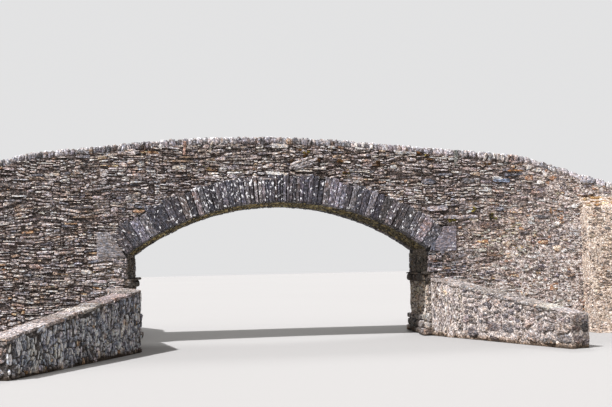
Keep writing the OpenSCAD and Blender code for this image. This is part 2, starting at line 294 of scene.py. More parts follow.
def studs(heap, rng, quads, place, proud, tint, mids=0, deep=0.02, cut=(0.12, 0.42), reach=(0.15, 0.95), rings=3, round_=0.07):
    """Stones that show their faces in a wall. quads is n, 4, 2; proud and tint have a row a stone.
    cut and reach are how far a corner is cut off along the height and along the bed, as shares of
    the stone's least side. rings is 2 for a plain bevel, 3 for a worn edge, 4 for a rougher face."""
    n = len(quads)
    if not n:
        return
    before, after = np.roll(quads, 1, 1) - quads, np.roll(quads, -1, 1) - quads
    lb, la = np.linalg.norm(before, axis=-1), np.linalg.norm(after, axis=-1)
    side = np.minimum(lb, la).min(1)
    upright = side[:, None] * rng.uniform(cut[0], cut[1], (n, 4))
    level = side[:, None] * rng.uniform(reach[0], reach[1], (n, 4))
    first = np.array([True, False, True, False])
    ca = np.minimum(np.where(first, upright, level), 0.42 * lb)
    cb = np.minimum(np.where(first, level, upright), 0.42 * la)
    a = quads + before * (ca / lb)[..., None]
    b = quads + after * (cb / la)[..., None]
    points = [a[:, 0], b[:, 0], a[:, 1], b[:, 1], a[:, 2], b[:, 2], a[:, 3], b[:, 3]]
    if mids:
        for at, i, j in ((6, 2, 3), (2, 0, 1))[:mids]:
            t = rng.uniform(0.3, 0.7, (n, 1))
            m = b[:, i] * (1 - t) + a[:, j] * t
            m[:, 1] += side * rng.uniform(-0.07, 0.07, n)
            points.insert(at, m)
    outline = np.stack(points, 1)
    k = outline.shape[1]
    centre = outline.mean(1, keepdims=True)
    spoke = outline - centre
    radius = np.linalg.norm(spoke, axis=-1, keepdims=True)
    inset = rng.uniform(0.006, 0.016, (n, k, 1)) + round_ * side[:, None, None]
    face = centre + spoke * (1 - np.minimum(inset / radius, 0.6))
    tilt = rng.normal(0, 0.06, (n, 1, 2))
    proud = proud[:, None]
    edge_n = proud * rng.uniform(0.1, 0.5, (n, k))
    face_n = proud + (spoke * tilt).sum(-1) + rng.normal(0, 0.004, (n, k))
    face_n = np.maximum(face_n, edge_n + 0.002)
    rows = [(outline, np.full((n, k), -deep)), (outline, edge_n), (face, face_n)]
    if rings == 2:
        rows = [(outline, np.full((n, k), -deep)), (face, face_n)]
    if rings == 4:
        inside = centre + spoke * rng.uniform(0.45, 0.62, (n, k, 1))
        rows.append((inside, face_n + rng.normal(0.003, 0.004, (n, k))))
    mid_n = rows[-1][1].mean(1, keepdims=True) + rng.uniform(-0.001, 0.006, (n, 1))
    uv = np.concatenate([r[0] for r in rows] + [centre], 1)
    height = np.concatenate([r[1] for r in rows] + [mid_n], 1)
    co = place(uv[..., 0], uv[..., 1], height)
    total = uv.shape[1]
    j = np.arange(k)
    nxt = (j + 1) % k
    quads_one = np.concatenate([np.stack([r * k + j, r * k + nxt, (r + 1) * k + nxt, (r + 1) * k + j], -1) for r in range(len(rows) - 1)])
    last = (len(rows) - 1) * k
    tris_one = np.stack([last + j, last + nxt, np.full(k, total - 1)], -1)
    if place.flip:
        quads_one, tris_one = quads_one[:, ::-1], tris_one[:, ::-1]
    base = (np.arange(n) * total)[:, None, None]
    spin = rng.normal(0, 0.22, (n, 1))
    along, up = (uv - centre)[..., 0], (uv - centre)[..., 1]
    grain = np.stack([along * np.cos(spin) + up * np.sin(spin), up * np.cos(spin) - along * np.sin(spin), height], -1) + rng.uniform(-40, 40, (n, 1, 3))
    heap.add(co.reshape(-1, 3), (quads_one + base).reshape(-1, 4), (tris_one + base).reshape(-1, 3),
             np.repeat(tint, total, 0), grain.reshape(-1, 3))


def blocks(heap, rng, corners, tint, seg=(2, 3, 2), round_=0.02, rough=0.008, scale=5.0, grain_axes=(0, 1, 2), seed=1, stretch=(1, 1, 1), bleach_and_highlight=0.0, dome=0.0):
    """Rough rounded blocks. corners is n, 2, 2, 2, 3, indexed by the three axes of the block; stretch
    draws the roughness out along an axis where it is below 1. The tops can be made paler, partly as
    weathered stone and partly as a painted highlight where the sun falls on them."""
    corners = np.asarray(corners, float)
    n = len(corners)
    spans = [np.linalg.norm((corners.take(1, 1 + d) - corners.take(0, 1 + d)), axis=-1).reshape(n, -1).mean(1) for d in range(3)]
    index, quads = shell(tuple(seg))
    local, unit = np.zeros((n, len(index), 3)), np.zeros((n, len(index), 3))
    for d in range(3):
        edge = np.minimum(round_, 0.3 * spans[d])
        steps = np.linspace(0, 1, seg[d] + 1)[None] * (spans[d] - 2 * edge)[:, None] + edge[:, None]
        ticks = np.concatenate([np.zeros((n, 1)), steps, spans[d][:, None]], 1)
        local[..., d] = ticks[:, index[:, d]]
    lengths = np.stack(spans, -1)[:, None]
    r = np.minimum(round_, 0.3 * lengths.min(-1, keepdims=True))
    inner = np.clip(local, r, lengths - r)
    off = local - inner
    size = np.linalg.norm(off, axis=-1, keepdims=True)
    outward = off / np.maximum(size, 1e-9)
    local = inner + outward * np.minimum(size, r)
    unit = local / lengths
    x, y, z = (unit[..., d, None] for d in range(3))
    c = corners[:, None]
    co = 0
    for i in (0, 1):
        for j in (0, 1):
            for k in (0, 1):
                co = co + (x if i else 1 - x) * (y if j else 1 - y) * (z if k else 1 - z) * c[:, :, i, j, k]
    shift = rng.uniform(-50, 50, (n, 1, 3))
    own = local + shift
    co = co + rough * (noise3(own * stretch, scale, seed) + 0.5 * noise3(own * stretch, scale * 2.7, seed + 5))
    co[..., 2:] -= dome * rng.uniform(0.2, 1.0, (n, 1, 1)) * lengths[..., 2:] * z * (2 * x - 1) ** 4
    e = corners[0]
    turned = np.linalg.det(np.stack([e[1, 0, 0] - e[0, 0, 0], e[0, 1, 0] - e[0, 0, 0], e[0, 0, 1] - e[0, 0, 0]])) < 0
    if turned:
        quads = quads[:, ::-1]
    base = (np.arange(n) * len(index))[:, None, None]
    shade = np.repeat(tint[:, None], len(index), 1)
    # the tops go paler: partly weathered stone, partly a painted highlight where the sun falls
    share = bleach_and_highlight * smooth_step(unit[..., 2:] + 0.12 * noise(own, 9.0, 3)[..., None], 0.60, 0.84)
    shade[..., :3] += (np.array([0.360, 0.350, 0.362]) - shade[..., :3]) * share
    heap.add(co.reshape(-1, 3), (quads + base).reshape(-1, 4), [], shade.reshape(-1, 4), own[..., list(grain_axes)].reshape(-1, 3))


SHELLS = {}


def shell(seg):
    """Lattice indices and outward quads of the surface of a grid of seg cells, with one more for each edge."""
    if seg not in SHELLS:
        n = [s + 3 for s in seg]
        ids, index, quads = {}, [], []

        def vertex(p):
            if p not in ids:
                ids[p] = len(index)
                index.append(p)
            return ids[p]

        for d in range(3):
            e, f = (d + 1) % 3, (d + 2) % 3
            for side in (0, n[d] - 1):
                for i in range(n[e] - 1):
                    for j in range(n[f] - 1):
                        ring = []
                        for di, dj in ((0, 0), (1, 0), (1, 1), (0, 1)):
                            p = [0, 0, 0]
                            p[d], p[e], p[f] = side, i + di, j + dj
                            ring.append(vertex(tuple(p)))
                        quads.append(ring if side else ring[::-1])
        SHELLS[seg] = np.array(index), np.array(quads)
    return SHELLS[seg]


def box_corners(x0, x1, y0, y1, z0, z1):
    """Corner array of upright boxes, the three axes being X, Y and Z."""
    xs, ys, zs = (np.stack(np.broadcast_arrays(a, b), -1) for a, b in ((x0, x1), (y0, y1), (z0, z1)))
    n = max(len(np.atleast_2d(a)) for a in (xs, ys, zs))
    c = np.zeros((n, 2, 2, 2, 3))
    for i in (0, 1):
        for j in (0, 1):
            for k in (0, 1):
                c[:, i, j, k, 0], c[:, i, j, k, 1], c[:, i, j, k, 2] = xs[..., i], ys[..., j], zs[..., k]
    return c


def sheet(heap, base, coat, flip=False, tucked=(0, 0, 0, 0), seed=31):
    """A lumpy coat of mortar over a grid of points. coat(points) gives its mean thickness and how
    much that varies; tucked says which of the first and last rows and columns sink into the wall."""
    normal = np.cross(np.gradient(base, axis=0), np.gradient(base, axis=1)) * (-1 if flip else 1)
    normal /= np.maximum(np.linalg.norm(normal, axis=-1, keepdims=True), 1e-9)
    rest, rough = coat(base)
    n = rest + rough * (0.8 * noise(base, 3.0, seed) + noise(base, 8.5, seed + 1) + 0.5 * noise(base, 17.0, seed + 2))
    for rows, edge in zip(tucked, (np.s_[0], np.s_[-1], np.s_[:, 0], np.s_[:, -1])):
        if rows:
            n[edge] = -0.006
    co = base + normal * n[..., None]
    co[..., 2] = np.maximum(co[..., 2], 0.0)
    nu, nv = base.shape[0] - 1, base.shape[1] - 1
    i = np.arange(nu)[:, None] * (nv + 1) + np.arange(nv)[None]
    quads = np.stack([i, i + nv + 1, i + nv + 2, i + 1], -1).reshape(-1, 4)
    if flip:
        quads = quads[:, ::-1]
    heap.add(co.reshape(-1, 3), quads, [], np.full((n.size, 4), 0.5), base.reshape(-1, 3))


def skin(heap, place, u0, u1, foot, top, step, coat, tucked=(1, 1, 1, 1)):
    """A coat over one flat face."""
    us = np.linspace(u0, u1, max(2, int((u1 - u0) / step)) + 1)
    lo, hi = foot(us), top(us)
    t = np.linspace(0, 1, max(2, int(float(np.max(hi - lo)) / step)) + 1)
    u = np.repeat(us[:, None], len(t), 1)
    v = lo[:, None] * (1 - t) + hi[:, None] * t
    sheet(heap, place(u, v, 0.0 * u), coat, place.flip, tucked)


def corner_stones(rng, x, y, sx, sy, z0, z1, out=0.035):
    """Stones that turn an upright corner between a face towards sx and one towards sy, long and short by turns."""
    made, z, turn = [], z0, int(rng.integers(2))
    while z < z1 - 0.04:
        h = rng.uniform(0.09, 0.22)
        h = z1 - z if z1 - z - h < 0.08 else h
        reach = (rng.uniform(0.28, 0.5), rng.uniform(0.12, 0.24))
        lx, ly = reach if turn % 2 else reach[::-1]
        ox, oy = out * rng.uniform(0.6, 1.3, 2)
        g = rng.uniform(0.003, 0.008)
        made.append(box_corners(*sorted((x - sx * lx, x + sx * ox)), *sorted((y - sy * ly, y + sy * oy)), z + g, z + h - g)[0])
        z, turn = z + h, turn + 1
    return made


# ---------------------------------------------------------------- tints, linear colour
SCHIST = [(0.32, (0.552, 0.492, 0.491)), (0.22, (0.441, 0.403, 0.416)), (0.16, (0.643, 0.573, 0.565)), (0.10, (0.278, 0.274, 0.310)),
          (0.07, (0.780, 0.711, 0.698)), (0.015, (0.528, 0.333, 0.209)), (0.025, (0.840, 0.840, 0.836)), (0.05, (0.296, 0.229, 0.186)), (0.008, (0.840, 0.840, 0.836))]
LIMED = [(0.20, (0.760, 0.612, 0.590)), (0.18, (0.520, 0.436, 0.432)), (0.20, (0.840, 0.752, 0.722)), (0.13, (0.216, 0.194, 0.216)),
         (0.06, (0.708, 0.431, 0.294)), (0.12, (0.840, 0.840, 0.840)), (0.05, (0.480, 0.351, 0.301)), (0.06, (0.840, 0.840, 0.840))]
ROUGHCAST = [(0.35, (0.466, 0.380, 0.325)), (0.25, (0.384, 0.313, 0.271)), (0.20, (0.546, 0.451, 0.392)), (0.14, (0.304, 0.254, 0.231)), (0.06, (0.221, 0.195, 0.181))]
DRY = [(0.4, (0.420, 0.290, 0.150)), (0.3, (0.330, 0.205, 0.095)), (0.3, (0.500, 0.400, 0.270))]
SLATE = [(0.36, (0.094, 0.089, 0.105)), (0.30, (0.072, 0.070, 0.086)), (0.20, (0.123, 0.113, 0.125)), (0.10, (0.149, 0.135, 0.145)), (0.04, (0.112, 0.096, 0.096))]
# stones of the vault: their own tone, painted paler with light thrown up under the arch
SOFFIT_TONE_AND_PAINTED_BOUNCE = [(0.30, (0.371, 0.318, 0.164)), (0.25, (0.225, 0.193, 0.108)), (0.20, (0.515, 0.442, 0.235)), (0.15, (0.144, 0.135, 0.095)), (0.10, (0.709, 0.597, 0.316))]
# pier stone: its own tone, painted paler with light thrown up from below
PIER_TONE_AND_PAINTED_BOUNCE = [(0.30, (0.722, 0.634, 0.565)), (0.25, (0.578, 0.520, 0.475)), (0.20, (0.840, 0.765, 0.679)), (0.15, (0.379, 0.352, 0.329)), (0.10, (0.578, 0.449, 0.334))]
SHADED = [(0.30, (0.172, 0.160, 0.144)), (0.25, (0.123, 0.118, 0.109)), (0.20, (0.247, 0.231, 0.209)), (0.15, (0.087, 0.084, 0.081)), (0.10, (0.159, 0.123, 0.087))]
RIVER = [(0.30, (0.251, 0.222, 0.224)), (0.22, (0.186, 0.168, 0.176)), (0.22, (0.329, 0.283, 0.270)), (0.06, (0.112, 0.103, 0.108)), (0.14, (0.391, 0.325, 0.297)), (0.06, (0.485, 0.428, 0.409))]
PALE = [(0.34, (0.290, 0.273, 0.295)), (0.26, (0.207, 0.194, 0.207)), (0.20, (0.416, 0.395, 0.424)), (0.18, (0.146, 0.138, 0.148)), (0.02, (0.252, 0.180, 0.141))]
# slabs on edge: their own tone, painted paler and bluer with sky light on a face in shade
EDGE_TONE_AND_PAINTED_SKYLIGHT = [(0.32, (0.484, 0.507, 0.588)), (0.26, (0.322, 0.343, 0.411)), (0.22, (0.687, 0.704, 0.774)), (0.10, (0.171, 0.178, 0.212)), (0.07, (0.840, 0.832, 0.804)), (0.03, (0.450, 0.329, 0.232))]
RENDERED = [(0.40, (0.473, 0.408, 0.370)), (0.25, (0.363, 0.314, 0.291)), (0.20, (0.594, 0.522, 0.486)), (0.15, (0.231, 0.204, 0.201))]
FLAGS = [(0.5, (0.402, 0.363, 0.338)), (0.3, (0.502, 0.459, 0.436)), (0.2, (0.319, 0.282, 0.267))]
MOSS = [(0.5, (0.071, 0.037, 0.013)), (0.2, (0.081, 0.067, 0.015)), (0.3, (0.034, 0.020, 0.010))]
GREEN_MOSS = [(0.5, (0.080, 0.067, 0.013)), (0.3, (0.126, 0.108, 0.026)), (0.2, (0.031, 0.025, 0.009))]
COBBLE = [(0.35, (0.220, 0.196, 0.176)), (0.30, (0.165, 0.150, 0.142)), (0.20, (0.290, 0.255, 0.226)), (0.15, (0.110, 0.102, 0.100))]


def tints(rng, n, palette, spread=0.20, other=None, share=None):
    """A colour and a random value for each of n stones. share is how much of the other palette each gets."""
    def pick(p):
        w = np.array([a for a, _ in p])
        return np.array([c for _, c in p])[rng.choice(len(p), n, p=w / w.sum())]

    colour = pick(palette)
    if other is not None:
        colour = np.where((rng.random(n) < share)[:, None], pick(other), colour)
    colour = colour * np.exp(rng.normal(0, spread, (n, 1))) * np.exp(rng.normal(0, 0.018, (n, 3)))
    return np.concatenate([np.clip(colour, 0.01, 0.85), rng.random((n, 1))], 1)


# ---------------------------------------------------------------- materials
class Recipe:
    """Small helper to write node trees in few lines."""

    def __init__(self, name):
        self.material = bpy.data.materials.new(name)
        self.material.use_nodes = True
        self.tree = self.material.node_tree
        self.shader = next(n for n in self.tree.nodes if n.type == "BSDF_PRINCIPLED")

    def put(self, socket, value):
        if isinstance(value, bpy.types.NodeSocket):
            self.tree.links.new(value, socket)
        else:
            socket.default_value = value

    def node(self, kind, out=0, setup=None, **inputs):
        n = self.tree.nodes.new("ShaderNode" + kind)
        for key, value in (setup or {}).items():
            setattr(n, key, value)
        for key, value in inputs.items():
            self.put(n.inputs[int(key[1:])] if key[0] == "i" and key[1:].isdigit() else n.inputs[key.replace("_", " ")], value)
        return n.outputs[out]

    def math(self, op, a, b=0.0, clamp=False):
        return self.node("Math", setup={"operation": op, "use_clamp": clamp}, i0=a, i1=b)

    def mix(self, factor, a, b, blend="MIX"):
        n = self.tree.nodes.new("ShaderNodeMix")
        n.data_type, n.blend_type, n.clamp_factor = "RGBA", blend, True
        self.put(n.inputs[0], factor)
        self.put(n.inputs[6], a)
        self.put(n.inputs[7], b)
        return n.outputs[2]

    def remap(self, value, a0, a1, b0=0.0, b1=1.0):
        return self.node("MapRange", setup={"clamp": True}, Value=value, From_Min=a0, From_Max=a1, To_Min=b0, To_Max=b1)

    def noise(self, vector, scale, detail=4.0, rough=0.55):
        return self.node("TexNoise", Vector=vector, Scale=scale, Detail=detail, Roughness=rough)

    def scaled(self, vector, by):
        return self.node("VectorMath", setup={"operation": "MULTIPLY"}, i0=vector, i1=by)

    def grainy(self, *parts):
        """A factor about 1 that varies with each noise given, by as much as the weight that goes with it."""
        total = 0.0
        for noise, weight in parts:
            total = self.math("ADD", total, self.math("MULTIPLY", self.math("SUBTRACT", noise, 0.5), weight))
        return self.math("MINIMUM", self.math("POWER", math.e, total), 3.2)

    def cells(self, vector, scale, crack):
        """A shade for each of a crowd of small irregular cells, and how much the crack round it shows."""
        warp = self.scaled(self.node("TexNoise", out=1, Vector=vector, Scale=7.0, Detail=2.0), (0.16, 0.16, 0.16))
        vector = self.node("VectorMath", setup={"operation": "ADD"}, i0=vector, i1=warp)
        shade = self.node("SeparateColor", i0=self.node("TexVoronoi", out=1, Vector=vector, Scale=scale))
        edge = self.node("TexVoronoi", setup={"feature": "DISTANCE_TO_EDGE"}, Vector=vector, Scale=scale)
        return shade, self.remap(edge, 0.02, crack, 1.0, 0.0)

    def grey(self, value):
        return self.node("CombineColor", i0=value, i1=value, i2=value)

    def finish(self, colour, rough, height, distance):
        colour = self.node("VectorMath", setup={"operation": "MINIMUM"}, i0=colour, i1=(0.86, 0.86, 0.86))
        bump = self.node("Bump", Height=height, Strength=1.0, Distance=distance)
        self.put(self.shader.inputs["Base Color"], colour)
        self.put(self.shader.inputs["Roughness"], rough)
        self.put(self.shader.inputs["Normal"], bump)
        self.shader.inputs["Specular IOR Level"].default_value = 0.25
        return self.material


def stone_material(name, bed=9.0, lichen=0.0, moss=0.0, stain=0.0, damp=0.0, lichen_scale=14.0, streaks=0.0, band=3.0, bump=0.11,
                   tops=0.0, lichen_grain=(1, 1, 1), contrast=10.0, cool=0.0, crowd=0.0, crowd_scale=9.0, glints=0.0, lichen_heart=None, weather=0.55, painted_hole_level=0.595):
    """Stone by its own tint, mottled along its grain, with lichen, moss and weather by place."""
    r = Recipe(name)
    tint = r.node("Attribute", out=0, setup={"attribute_name": "tint"})
    alpha = r.node("Attribute", out=3, setup={"attribute_name": "tint"})
    grain = r.node("Attribute", out=1, setup={"attribute_name": "grain"})
    place = r.node("NewGeometry", out=0)
    normal_z = r.node("SeparateXYZ", out=2, i0=r.node("NewGeometry", out=1))
    fine = r.noise(r.scaled(grain, (0.75, 1.35, 1.0)), 15.0, 5.0, 0.70)
    layers = r.noise(r.scaled(grain, (1.6, bed, 5.0)), 5.0, 3.0, 0.6)
    blotch = r.noise(r.scaled(grain, (1.0, 2.0, 1.0)), 8.0, 3.0, 0.6)
    colour = r.mix(1.0, tint, r.grey(r.grainy((fine, contrast), (layers, band), (blotch, 0.4 * contrast))), "MULTIPLY")
    pale = r.remap(r.node("SeparateColor", out=1, i0=tint), 0.50, 0.80, 0.0, 0.7)
    painted_hole_shade = r.noise(r.scaled(grain, (1.0, 1.8, 1.0)), 13.0, 4.0, 0.6)
    crack = 0.0
    if crowd:
        shade, crack = r.cells(r.scaled(grain, (0.8, 2.2, 1.0)), crowd_scale, 0.16)
        colour = r.mix(1.0, colour, r.grey(r.grainy((shade, crowd))), "MULTIPLY")
        crack = r.math("MULTIPLY", crack, r.remap(blotch, 0.42, 0.55))
    colour = r.mix(pale, colour, tint)
    # small holes are painted nearly black as shade; the cracks round the cells are dark joints
    colour = r.mix(r.math("MAXIMUM", r.remap(painted_hole_shade, painted_hole_level, painted_hole_level + 0.055, 0.0, 0.92), r.math("MULTIPLY", crack, 0.85)), colour, (0.018, 0.015, 0.014, 1))
    if glints:
        bright = r.noise(r.scaled(grain, (1.0, 1.7, 1.0)), 12.0, 3.0, 0.6)
        colour = r.mix(r.remap(bright, 0.60, 0.66, 0.0, glints), colour, (0.84, 0.79, 0.78, 1))
    hue = r.noise(grain, 12.0, 4.0, 0.6)
    colour = r.mix(1.0, colour, r.mix(r.remap(hue, 0.36, 0.64 + cool), (0.88, 0.98, 1.10, 1), (1.15, 1.0, 0.84, 1)), "MULTIPLY")
    wide = r.noise(place, 0.9, 4.0, 0.6)
    colour = r.mix(r.remap(wide, 0.42, 0.68, 0.0, weather), colour, r.mix(1.0, colour, (0.55, 0.50, 0.46, 1), "MULTIPLY"))
    rust = r.noise(place, 2.6, 4.0, 0.6)
    colour = r.mix(r.remap(rust, 0.57, 0.70, 0.0, 0.6), colour, r.mix(1.0, colour, (1.25, 0.86, 0.58, 1), "MULTIPLY"))
    if streaks:
        run = r.noise(r.scaled(place, (7.0, 7.0, 0.55)), 1.0, 4.0, 0.65)
        colour = r.mix(r.remap(run, 0.50, 0.66, 0.0, streaks), colour, r.mix(1.0, colour, (0.34, 0.31, 0.29, 1), "MULTIPLY"))
    if lichen:
        patches = r.noise(r.scaled(grain, lichen_grain), lichen_scale, 3.0, 0.55)
        if lichen_heart is None:
            limit = r.remap(r.noise(place, 1.1, 2.0, 0.5), 0.35, 0.65, 0.80 - 0.10 * lichen, 0.66 - 0.12 * lichen)
        else:
            away = r.math("ABSOLUTE", r.math("SUBTRACT", r.node("SeparateXYZ", out=0, i0=place), lichen_heart))
            away = r.math("ADD", away, r.math("MULTIPLY", r.math("SUBTRACT", r.noise(place, 0.9, 2.0, 0.5), 0.5), 6.0))
            limit = r.remap(away, 0.6, 2.8, 0.580, 0.625)
        limit = r.math("SUBTRACT", limit, r.math("MULTIPLY", r.math("MAXIMUM", normal_z, 0.0), tops))
        spots = r.math("MULTIPLY", r.math("SUBTRACT", patches, limit), 55.0, clamp=True)
        colour = r.mix(r.math("MULTIPLY", spots, 0.97), colour, (0.80, 0.82, 0.86, 1))
    if moss:
        tufts = r.noise(place, 5.0, 4.0, 0.6)
        cover = r.math("ADD", tufts, r.math("MULTIPLY", normal_z, 0.10))
        cover = r.math("ADD", cover, r.math("MULTIPLY", r.noise(place, 0.7, 2.0, 0.5), 0.28))
        spots = r.math("MULTIPLY", r.math("SUBTRACT", cover, 0.90 - 0.16 * moss), 14.0, clamp=True)
        kind = r.mix(r.remap(alpha, 0.45, 0.55), (0.115, 0.072, 0.018, 1), (0.120, 0.115, 0.022, 1))
        colour = r.mix(r.math("MULTIPLY", spots, 0.85), colour, kind)
    if stain:
        height = r.node("SeparateXYZ", out=2, i0=place)
        edge = r.math("ADD", height, r.math("MULTIPLY", r.noise(place, 2.2, 3.0, 0.6), -0.35))
        colour = r.mix(r.remap(edge, 0.02, -0.12, 0.0, stain), colour, r.mix(1.0, colour, (0.50, 0.38, 0.25, 1), "MULTIPLY"))
        colour = r.mix(r.remap(edge, -0.08, -0.16, 0.0, stain), colour, (0.030, 0.022, 0.016, 1))
    if damp:
        colour = r.mix(damp, colour, r.mix(1.0, colour, (0.5, 0.45, 0.38, 1), "MULTIPLY"))
    height = r.math("ADD", r.math("MULTIPLY", fine, 0.5), r.math("ADD", r.math("MULTIPLY", layers, 0.5), r.math("MULTIPLY", blotch, 0.9)))
    height = r.math("SUBTRACT", height, r.math("MULTIPLY", crack, 0.25))
    return r.finish(colour, r.remap(fine, 0.3, 0.7, 0.80, 0.96), height, bump)


def mortar_material(name, dark, pale, x0=3.0, x1=10.0, stain=0.0, flecks=0.0, contrast=6.0, size=15.0, crowd=1.3, painted_hole_level=0.59, patchy=1.2, drop=0.0):
    """Mortar and core rubble between the stones: dark on the left and the crown, limier to the right."""
    r = Recipe(name)
    place = r.node("NewGeometry", out=0)
    x = r.node("SeparateXYZ", out=0, i0=place)
    where = r.math("ADD", x, r.math("MULTIPLY", r.math("SUBTRACT", r.noise(place, 0.6, 3.0), 0.5), 7.0))
    where = r.math("ADD", where, r.math("MULTIPLY", r.math("SUBTRACT", 4.0, r.node("SeparateXYZ", out=2, i0=place)), drop))
    fleck = r.noise(place, 9.0, 4.0, 0.65)
    share = r.math("ADD", r.remap(where, x0, x1), r.remap(fleck, 0.56, 0.70, 0.0, flecks), clamp=True)
    base = r.mix(share, dark, pale)
    lumps = r.noise(place, size, 5.0, 0.70)
    shade, crack = r.cells(r.scaled(place, (1.0, 1.0, 1.7)), 8.0, 0.14)
    grit = r.node("TexVoronoi", Vector=place, Scale=34.0)
    wide = r.noise(place, 2.4, 3.0, 0.6)
    colour = r.mix(1.0, base, r.grey(r.grainy((lumps, contrast), (grit, -0.9), (wide, patchy), (shade, crowd))), "MULTIPLY")
    painted_hole_shade = r.noise(r.scaled(place, (1.0, 1.0, 1.9)), 11.0, 4.0, 0.6)
    crack = r.math("MULTIPLY", crack, r.remap(wide, 0.45, 0.60, 0.0, 0.7))
    # small holes are painted nearly black as shade; the cracks round the cells are dark joints
    colour = r.mix(r.math("MAXIMUM", r.remap(painted_hole_shade, painted_hole_level, painted_hole_level + 0.07, 0.0, 0.92), crack), colour, (0.016, 0.013, 0.012, 1))
    hue = r.noise(place, 11.0, 4.0, 0.6)
    colour = r.mix(1.0, colour, r.mix(r.remap(hue, 0.36, 0.64), (0.93, 0.99, 1.06, 1), (1.08, 1.0, 0.92, 1)), "MULTIPLY")
    if stain:
        height = r.node("SeparateXYZ", out=2, i0=place)
        edge = r.math("ADD", height, r.math("MULTIPLY", r.noise(place, 2.2, 3.0, 0.6), -0.35))
        colour = r.mix(r.remap(edge, 0.02, -0.12, 0.0, stain), colour, r.mix(1.0, colour, (0.50, 0.38, 0.25, 1), "MULTIPLY"))
        colour = r.mix(r.remap(edge, -0.08, -0.16, 0.0, stain), colour, (0.030, 0.022, 0.016, 1))
    height = r.math("ADD", r.math("MULTIPLY", lumps, 0.8), r.math("MULTIPLY", grit, -0.3))
    return r.finish(colour, 0.95, height, 0.07)


rubble = stone_material("rubble", bed=7.0, lichen=0.35, moss=0.55, contrast=7.0, crowd=1.4, glints=0.8, painted_hole_level=0.585)
slate = stone_material("ring_slate", bed=6.0, lichen=1.0, moss=0.1, lichen_scale=9.5, band=4.0, bump=0.05, lichen_grain=(0.85, 1.15, 1), contrast=6.5, cool=0.12, painted_hole_level=0.58,
                       lichen_heart=-1.1)
slab = stone_material("smooth_slab", bed=3.0, lichen=0.5, bump=0.03, band=2.0, contrast=4.5, cool=0.04)
under = stone_material("soffit_stone", bed=2.0, band=2.0, damp=0.2, contrast=5.0)
pier_stone = stone_material("pier_stone", bed=5.0, streaks=0.7, stain=0.8, contrast=7.0)
river_stone = stone_material("river_stone", bed=3.0, lichen=0.3, stain=0.8, contrast=5.0, cool=0.10, crowd=0.3, glints=0.4)
edge_stone = stone_material("edge_stone", bed=0.6, lichen=0.2, stain=0.8, contrast=8.0, cool=0.10, band=1.5)
lime_stone = stone_material("lime_stone", bed=3.0, lichen=0.2, bump=0.06, contrast=6.0, crowd=0.4, glints=0.5, weather=0.2)
marked_stone = stone_material("marked_stone", bed=4.0, bump=0.06, band=2.5, contrast=7.0, weather=0.0, glints=0.4)
moss_look = stone_material("moss", bed=1.0, bump=0.08, band=1.0, contrast=7.0, weather=0.0)
coping_stone = stone_material("coping_stone", bed=4.0, lichen=0.3, moss=0.4, tops=0.12, bump=0.05, contrast=6.0, cool=0.08)
cobble_stone = stone_material("cobble_stone", bed=2.0, lichen=0.1, moss=0.1, bump=0.02, contrast=4.0)
wall_mortar = mortar_material("wall_mortar", (0.090, 0.072, 0.068, 1), (0.640, 0.545, 0.512, 1), x0=5.5, x1=11.0, flecks=0.6, contrast=8.0, painted_hole_level=0.56, drop=1.0)
ring_mortar = mortar_material("ring_mortar", (0.016, 0.014, 0.014, 1), (0.300, 0.280, 0.270, 1), x0=60, x1=90, flecks=0.4)
under_mortar = mortar_material("soffit_mortar", (0.040, 0.032, 0.023, 1), (0.140, 0.112, 0.076, 1), x0=60, x1=90, flecks=0.8)
pier_mortar = mortar_material("pier_mortar", (0.200, 0.172, 0.150, 1), (0.360, 0.315, 0.276, 1), x0=60, x1=90, stain=0.8, flecks=0.8)
river_mortar = mortar_material("river_mortar", (0.218, 0.194, 0.185, 1), (0.430, 0.384, 0.366, 1), x0=-3.0, x1=3.0, stain=0.8, flecks=0.3, contrast=7.0, crowd=0.6)
edge_mortar = mortar_material("edge_mortar", (0.070, 0.065, 0.065, 1), (0.300, 0.278, 0.265, 1), x0=60, x1=90, stain=0.8, flecks=0.5)
lime_mortar = mortar_material("lime_mortar", (0.450, 0.362, 0.300, 1), (0.620, 0.505, 0.425, 1), x0=-3.0, x1=3.0, flecks=0.5, contrast=6.0, size=18.0, crowd=0.5, patchy=0.5)
road_bed = mortar_material("road_bed", (0.100, 0.078, 0.058, 1), (0.190, 0.150, 0.115, 1), x0=60, x1=90, flecks=0.8)

NODE_LOOK = {"footings": pier_mortar, "abutment": pier_mortar, "ledge": pier_mortar, "springer": pier_mortar, "skewback": ring_mortar,
             "vault": under_mortar, "ring": ring_mortar, "spandrel": wall_mortar, "approach_wall": wall_mortar, "haunch": road_bed,
             "approach_fill": road_bed, "road": road_bed, "parapet": wall_mortar, "coping": wall_mortar, "river": river_mortar, "buttress": lime_mortar}
for node_name, node_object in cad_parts.items():
    look = next(m for key, m in NODE_LOOK.items() if node_name.startswith(key))
    look = edge_mortar if node_name in ("river_wall_front_left", "river_wall_back_left") else look
    node_object.data.materials.clear()
    node_object.data.materials.append(look)


